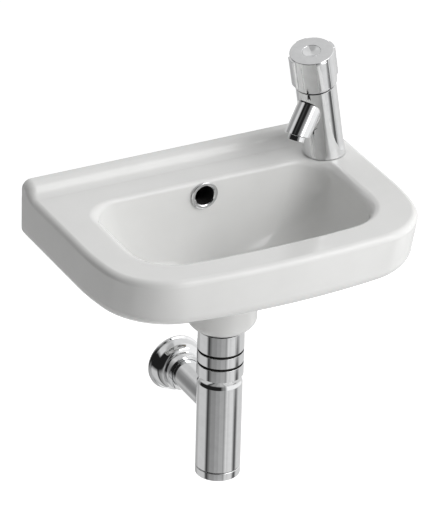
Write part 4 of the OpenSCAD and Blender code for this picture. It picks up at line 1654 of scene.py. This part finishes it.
    def lug(self) -> Piece:
        """Builds one lug of the handle, on the X axis of the column's frame.

        Returns:
            The lug.
        """
        low = self.column_l + self.shadow_gap + self.lug_above
        high = self.column_l + self.handle_l - self.lug_below
        half, inner = self.lug_w / 2, self.handle_r - self.lug_into
        root_r = self.handle_r - self.lug_root_in
        stations = [
            (low, root_r),
            (low + self.lug_slope * 0.5, mix(root_r, self.lug_r, self.lug_belly)),
            (low + self.lug_slope, self.lug_r),
            (high, self.lug_r),
        ]
        across = [mix(-half, half, step / self.lug_steps) for step in range(self.lug_steps + 1)]
        rings: list[Ring] = []
        for z, radius in stations:
            face = [(math.sqrt(radius**2 - y * y), y, z) for y in across]
            rings.append([(inner, -half, z), *face, (inner, half, z)])
        lug = draw_skin("lug", rings, Matrix.Identity(4))
        with editing(lug):
            soften(self.lug_round, MACHINED)
        return lug

    def handle(self) -> Piece:
        """Builds the turning handle with its lugs.

        Returns:
            The handle.
        """
        low, top = self.column_l + self.shadow_gap, self.column_l + self.handle_l
        cup, cup_top = self.handle_r - self.handle_wall, self.cup_top
        seat, seat_r = top - self.index_seat, self.index_r + self.index_gap
        head, head_r = seat - self.screw_head_l, self.screw_head_r
        hub_low, hub_edge = self.hub_ends
        corners = [
            (seat_r, seat), (head_r, seat), (head_r, head), (self.screw_r, head),
            (self.screw_r, cup_top), (self.spindle_r, cup_top), (self.spindle_r, hub_low),
            (self.hub_r, hub_edge), (self.hub_r, cup_top), (cup, cup_top), (cup, low),
            (self.handle_r, low), (self.handle_r, top), (seat_r, top),
        ]
        handle = turn_on_lathe("tap_handle_cast", corners, Matrix.Identity(4), self.sides, edge=0.7)
        first = self.lug()
        lugs = [first]
        for number in range(1, self.lug_count):
            copy = first.copy()
            copy.data = first.data.copy()
            bpy.context.collection.objects.link(copy)
            copy.matrix_world = swing(number * 360 / self.lug_count, "Z")
            lugs.append(settle(copy))
        for lug in lugs:
            combine(handle, lug, "UNION")
        return settle(handle, LAYOUT.column() @ swing(self.lug_turn, "Z"))

    def index(self) -> Piece:
        """Builds the dished button in the handle's top.

        Returns:
            The button.
        """
        end, ball, least = self.column_l + self.handle_l, self.dish_ball, self.dish_centre_r
        top, low = end - self.index_top, end - self.index_low
        centre = top + math.sqrt(ball**2 - (self.index_r - self.dish_rim) ** 2)
        corners = [(least, low), (self.index_r, low), (self.index_r, top)]
        edge = math.sqrt(ball**2 - (centre - top) ** 2)
        for step in range(self.dish_steps + 1):
            radius = mix(edge, least, step / self.dish_steps)
            corners.append((radius, centre - math.sqrt(ball**2 - radius**2)))
        place, sides = LAYOUT.column(), self.small_sides
        return turn_on_lathe("index_button", corners, place, sides, edge=0.15, bored=False)

    def aerator(self) -> Piece:
        """Builds the ring round the aerator.

        Returns:
            The ring.
        """
        low, joint, tip = -self.aerator_sleeve, self.shadow_gap, self.aerator_out
        sleeve, inner = self.aerator_r - self.sleeve_in, self.aerator_r - self.aerator_wall
        corners = [
            (inner, low), (sleeve, low), (sleeve, joint), (self.aerator_r, joint),
            (self.aerator_r, tip), (inner, tip),
        ]
        return turn_on_lathe("aerator_ring", corners, LAYOUT.mouth(), self.small_sides, edge=0.4)

    def build(self, shop: Workshop) -> None:
        """Builds the tap and dresses it.

        Args:
            shop: The workshop that dresses it.
        """
        casting = shop.dress(self.casting(), Finish.CHROME, "tap_body")
        # Painted shade in the joint round the column's top, under the handle.
        low, high = self.column_l - self.joint_l - MARGIN, self.column_l + MARGIN
        shop.paint_shade_inside(casting, Hollow(LAYOUT.column(), low, high, self.column_r - self.shade_in))
        shop.dress(self.handle(), Finish.CHROME, "handle", body=Body.HANDLE)
        shop.dress(self.index(), Finish.CHROME, "index_cap", body=Body.HANDLE)
        aerator = shop.dress(self.aerator(), Finish.CHROME, "aerator_housing")
        # Painted shade in the gap between the spout's mouth and the aerator ring.
        low, high = -OVERRUN, self.shadow_gap + MARGIN
        shop.paint_shade_inside(aerator, Hollow(LAYOUT.mouth(), low, high, self.aerator_r - self.shade_in))


@dataclass
class OverflowTrim:
    """Chromed ring in the overflow hole, in millimetres."""

    outer: float = 15.0
    lip: float = 4.0
    lip_low: float = 1.2
    lip_t: float = 2.0
    lip_steps: int = 8
    bore_in: float = 0.3
    bore_bevel: float = 0.8
    sleeve_r: float = 11.9
    sleeve_t: float = 1.3
    sleeve_l: float = 12.0
    shade_high: float = 0.4
    shade_out: float = 0.2

    def build(self, shop: Workshop) -> None:
        """Builds the ring and dresses it.

        Args:
            shop: The workshop that dresses it.
        """
        bore, inner = self.outer - self.lip, self.sleeve_r - self.sleeve_t
        top, swell = self.lip_low + self.lip_t, self.lip_t / 2
        low = -self.sleeve_l
        corners = [(inner, low), (self.sleeve_r, low), (self.sleeve_r, self.lip_low)]
        for step in range(self.lip_steps + 1):
            turn = mix(-math.pi / 2, math.pi / 2, step / self.lip_steps)
            radius = self.outer - swell + swell * math.cos(turn)
            corners.append((radius, self.lip_low + swell + swell * math.sin(turn)))
        corners += [(bore + self.bore_bevel, top), (bore - self.bore_in, top - self.bore_bevel)]
        corners.append((inner, self.lip_low))
        place = LAYOUT.overflow()
        ring = turn_on_lathe("overflow_trim", corners, place, edge=0.2)
        shop.dress(ring, Finish.CHROME, "overflow_ring")
        # Painted shade inside the ring's bore and sleeve.
        shop.paint_shade_inside(ring, Hollow(place, low - OVERRUN, self.shade_high, bore + self.shade_out))


# ---------------------------------------------------------------- studio


@dataclass(frozen=True)
class Viewpoint:
    """Place of the camera, in degrees, millimetres and pixels of a 440 by 505 picture."""

    azimuth: float = -28.0604
    elevation: float = 28.4032
    roll: float = 1.5756
    distance: float = 4858.28
    focal: float = 4690.08
    across: float = -40.94
    down: float = -94.976
    picture_h: float = 505.0
    sensor_h: float = 36.0
    clip: tuple[float, float] = (0.05, 60.0)

    def build(self) -> None:
        """Places the camera and makes it the scene's."""
        azimuth, roll = math.radians(self.azimuth), math.radians(self.roll)
        back = direction(self.azimuth, self.elevation)
        right = Vector((math.cos(azimuth), math.sin(azimuth), 0))
        upright = back.cross(right)
        across = right * math.cos(roll) + upright * math.sin(roll)
        up = upright * math.cos(roll) - right * math.sin(roll)
        scale = self.distance / self.focal
        place = back * self.distance - across * self.across * scale + up * self.down * scale
        data = bpy.data.cameras.new("camera")
        data.sensor_fit = "VERTICAL"
        data.sensor_height = self.sensor_h
        data.lens = self.focal * self.sensor_h / self.picture_h
        data.clip_start, data.clip_end = self.clip
        camera = bpy.data.objects.new("camera", data)
        bpy.context.scene.collection.objects.link(camera)
        turned = Matrix((across, up, back)).transposed().to_4x4()
        camera.matrix_world = shift(0, 0, RIM) @ Matrix.Translation(place * MM) @ turned
        bpy.context.scene.camera = camera


@dataclass(frozen=True)
class Lamp:
    """A soft area lamp that faces the basin."""

    name: str
    azimuth: float
    elevation: float
    power: float
    wide: float = 1.6
    tall: float = 1.6
    distance: float = 2.4
    mirrored: bool = False

    def build(self, aim: Vector) -> None:
        """Hangs the lamp.

        Args:
            aim: The point that it faces.
        """
        way = direction(self.azimuth, self.elevation)
        data = bpy.data.lights.new(self.name, "AREA")
        data.shape = "RECTANGLE"
        data.size, data.size_y = self.wide, self.tall
        data.energy = self.power
        lamp = bpy.data.objects.new(self.name, data)
        bpy.context.scene.collection.objects.link(lamp)
        lamp.location = aim + way * self.distance
        lamp.rotation_euler = way.to_track_quat("Z", "Y").to_euler()
        lamp.visible_glossy = self.mirrored


@dataclass(frozen=True)
class Screen:
    """A soft-edged patch of the studio's walls, between two azimuths and two heights in degrees."""

    name: str
    level: float
    left: float
    right: float
    low: float
    high: float
    soft: float = 6.0

    def glow(self, turn: Value, climb: Value) -> Value:
        """Returns how much the patch gives in a direction.

        Args:
            turn: Azimuth of the direction in degrees.
            climb: Elevation of the direction in degrees.

        Returns:
            The level inside the patch, falling to 0 outside it.
        """
        middle, half = (self.left + self.right) / 2, (self.right - self.left) / 2
        off = (turn - middle).maths("WRAP", 180.0, -180.0).maths("ABSOLUTE")
        across = 1 - off.between(half - self.soft, half + self.soft)
        above = climb.between(self.low - self.soft, self.low + self.soft)
        below = 1 - climb.between(self.high - self.soft, self.high + self.soft)
        return across * above * below * self.level


@dataclass
class Studio:
    """Floor, screens and lamps."""

    floor_z: float = -0.775
    floor_wide: float = 14.0
    floor_cloud: float = 700.0
    floor_pale: tuple[float, float, float] = (0.86, 0.86, 0.86)
    floor_deep: tuple[float, float, float] = (0.83, 0.83, 0.83)
    floor_rough: float = 0.9
    floor_glow: float = 0.5
    aim: tuple[float, float, float] = (0.0, -0.12, 0.0)
    light: tuple[Screen, ...] = (
        Screen("white_wall_right", 1.05, 3, 110, -20, 62),
        Screen("grey_wall_by_camera", 0.12, -45, 3, -20, 62),
        Screen("pale_wall_back_right", 0.58, 110, 165, -20, 62),
        Screen("grey_wall_back_left", 0.30, 165, 220, -20, 62),
        Screen("ceiling", 0.42, -200, 200, 62, 110),
        Screen("floor_right", 0.62, 0, 140, -110, -20),
        Screen("floor_back", 0.80, 140, 195, -110, -20),
        Screen("floor_left", 0.50, 195, 258, -110, -20),
        Screen("floor_by_camera", 0.30, 270, 360, -110, -20),
    )
    mirrored: tuple[Screen, ...] = (
        Screen("white_wall_right", 1.02, 6, 108, -23, 58),
        Screen("pale_wall_back_right", 0.80, 108, 160, -23, 58),
        Screen("grey_wall_back", 0.62, 160, 196, -23, 58),
        Screen("grey_wall_back_left", 0.34, 196, 222, -23, 28),
        Screen("pale_cloth_high_left", 0.68, 196, 258, 28, 58),
        Screen("black_flag_left", 0.015, 222, 344, -23, 58),
        Screen("grey_wall_by_camera", 0.26, 344, 366, -23, 58),
        Screen("ceiling_right", 0.74, -15, 168, 58, 110),
        Screen("ceiling_left", 0.45, 168, 345, 58, 110),
        Screen("floor_front_right", 0.66, 6, 25, -110, -23),
        Screen("floor_right_near", 0.77, 25, 52, -110, -23),
        Screen("pale_skirting_right", 0.62, 52, 74, -29.3, -23, soft=0.7),
        Screen("dark_skirting_right", 0.12, 52, 74, -40, -29.3, soft=0.7),
        Screen("floor_right_below", 0.80, 52, 74, -110, -40, soft=1),
        Screen("floor_right", 0.70, 74, 152, -110, -23),
        Screen("floor_back", 1.02, 152, 176, -110, -23),
        Screen("floor_back_left", 0.45, 176, 208, -110, -23),
        Screen("floor_left", 0.62, 208, 266, -110, -23, soft=6),
        Screen("floor_flag", 0.05, 266, 284, -110, -23, soft=5),
        Screen("floor_by_camera", 0.31, 284, 325, -110, -23, soft=8),
        Screen("floor_front", 0.53, 325, 366, -110, -23, soft=12),
    )
    lamps: tuple[Lamp, ...] = (
        Lamp("key_lamp", 38, 38, 17.5, mirrored=True),
        Lamp("side_lamp", 75, 20, 6.8),
        Lamp("front_lamp", 5, 20, 11.0),
        Lamp("rear_lamp", 160, 45, 5.5),
        Lamp("left_rear_lamp", -150, 30, 9.5),
        Lamp("left_lamp", -105, 10, 2.2),
    )

    def world(self) -> None:
        """Sets the surroundings: white where the camera looks, and the screens for light and gloss."""
        world = bpy.data.worlds.new("studio")
        bpy.context.scene.world = world
        wires = Wiring(world)
        wires.tree.nodes.clear()
        way = wires.node("ShaderNodeTexCoord", output="Generated")
        x, y, z = (wires.node("ShaderNodeSeparateXYZ", None, [way], axis) for axis in "XYZ")
        turn = x.maths("ARCTAN2", y * -1) * math.degrees(1)
        climb = z.maths("ARCSINE") * math.degrees(1)
        light, mirrored = (
            functools.reduce(operator.add, [screen.glow(turn, climb) for screen in screens])
            for screens in (self.light, self.mirrored)
        )
        gloss = wires.node("ShaderNodeLightPath", output="Is Glossy Ray")
        camera = wires.node("ShaderNodeLightPath", output="Is Camera Ray")
        glow = light + (mirrored - light) * gloss
        sides = {0: camera, 6: glow, 7: (1, 1, 1, 1)}
        shown = wires.node("ShaderNodeMix", {"data_type": "RGBA"}, sides, output=2)
        background = wires.node("ShaderNodeBackground", None, {"Color": shown})
        output = wires.tree.nodes.new("ShaderNodeOutputWorld")
        wires.feed(output.inputs["Surface"], background)

    def floor(self) -> None:
        """Lays the plain white floor."""
        clear_selection()
        bpy.ops.mesh.primitive_plane_add(size=self.floor_wide, location=(0, 0, self.floor_z))
        floor = bpy.context.object
        floor.name = "floor"
        floor.visible_glossy = False
        paint = Paint("white_floor")
        clouds = paint.noise(self.floor_cloud, detail=2)
        paint.set(
            Base_Color=paint.blend(clouds, self.floor_pale, self.floor_deep),
            Roughness=self.floor_rough,
            Emission_Color=paint.blend(paint.seen(), (0, 0, 0), (1, 1, 1)),
            Emission_Strength=self.floor_glow,
        )
        floor.data.materials.append(paint.material)

    def build(self) -> None:
        """Sets up the whole studio."""
        self.world()
        self.floor()
        for lamp in self.lamps:
            lamp.build(Vector(self.aim))
        bpy.context.scene.view_settings.view_transform = "Standard"


def main() -> None:
    """Builds the camera, the studio and every sub-assembly."""
    logging.basicConfig(level=logging.INFO, format="%(message)s")
    Viewpoint().build()
    Studio().build()
    shop = Workshop()
    Basin().build(shop)
    OverflowTrim().build(shop)
    Trap().build(shop)
    Tap().build(shop)
    shop.dress_nodes()


if __name__ == "__main__":
    main()
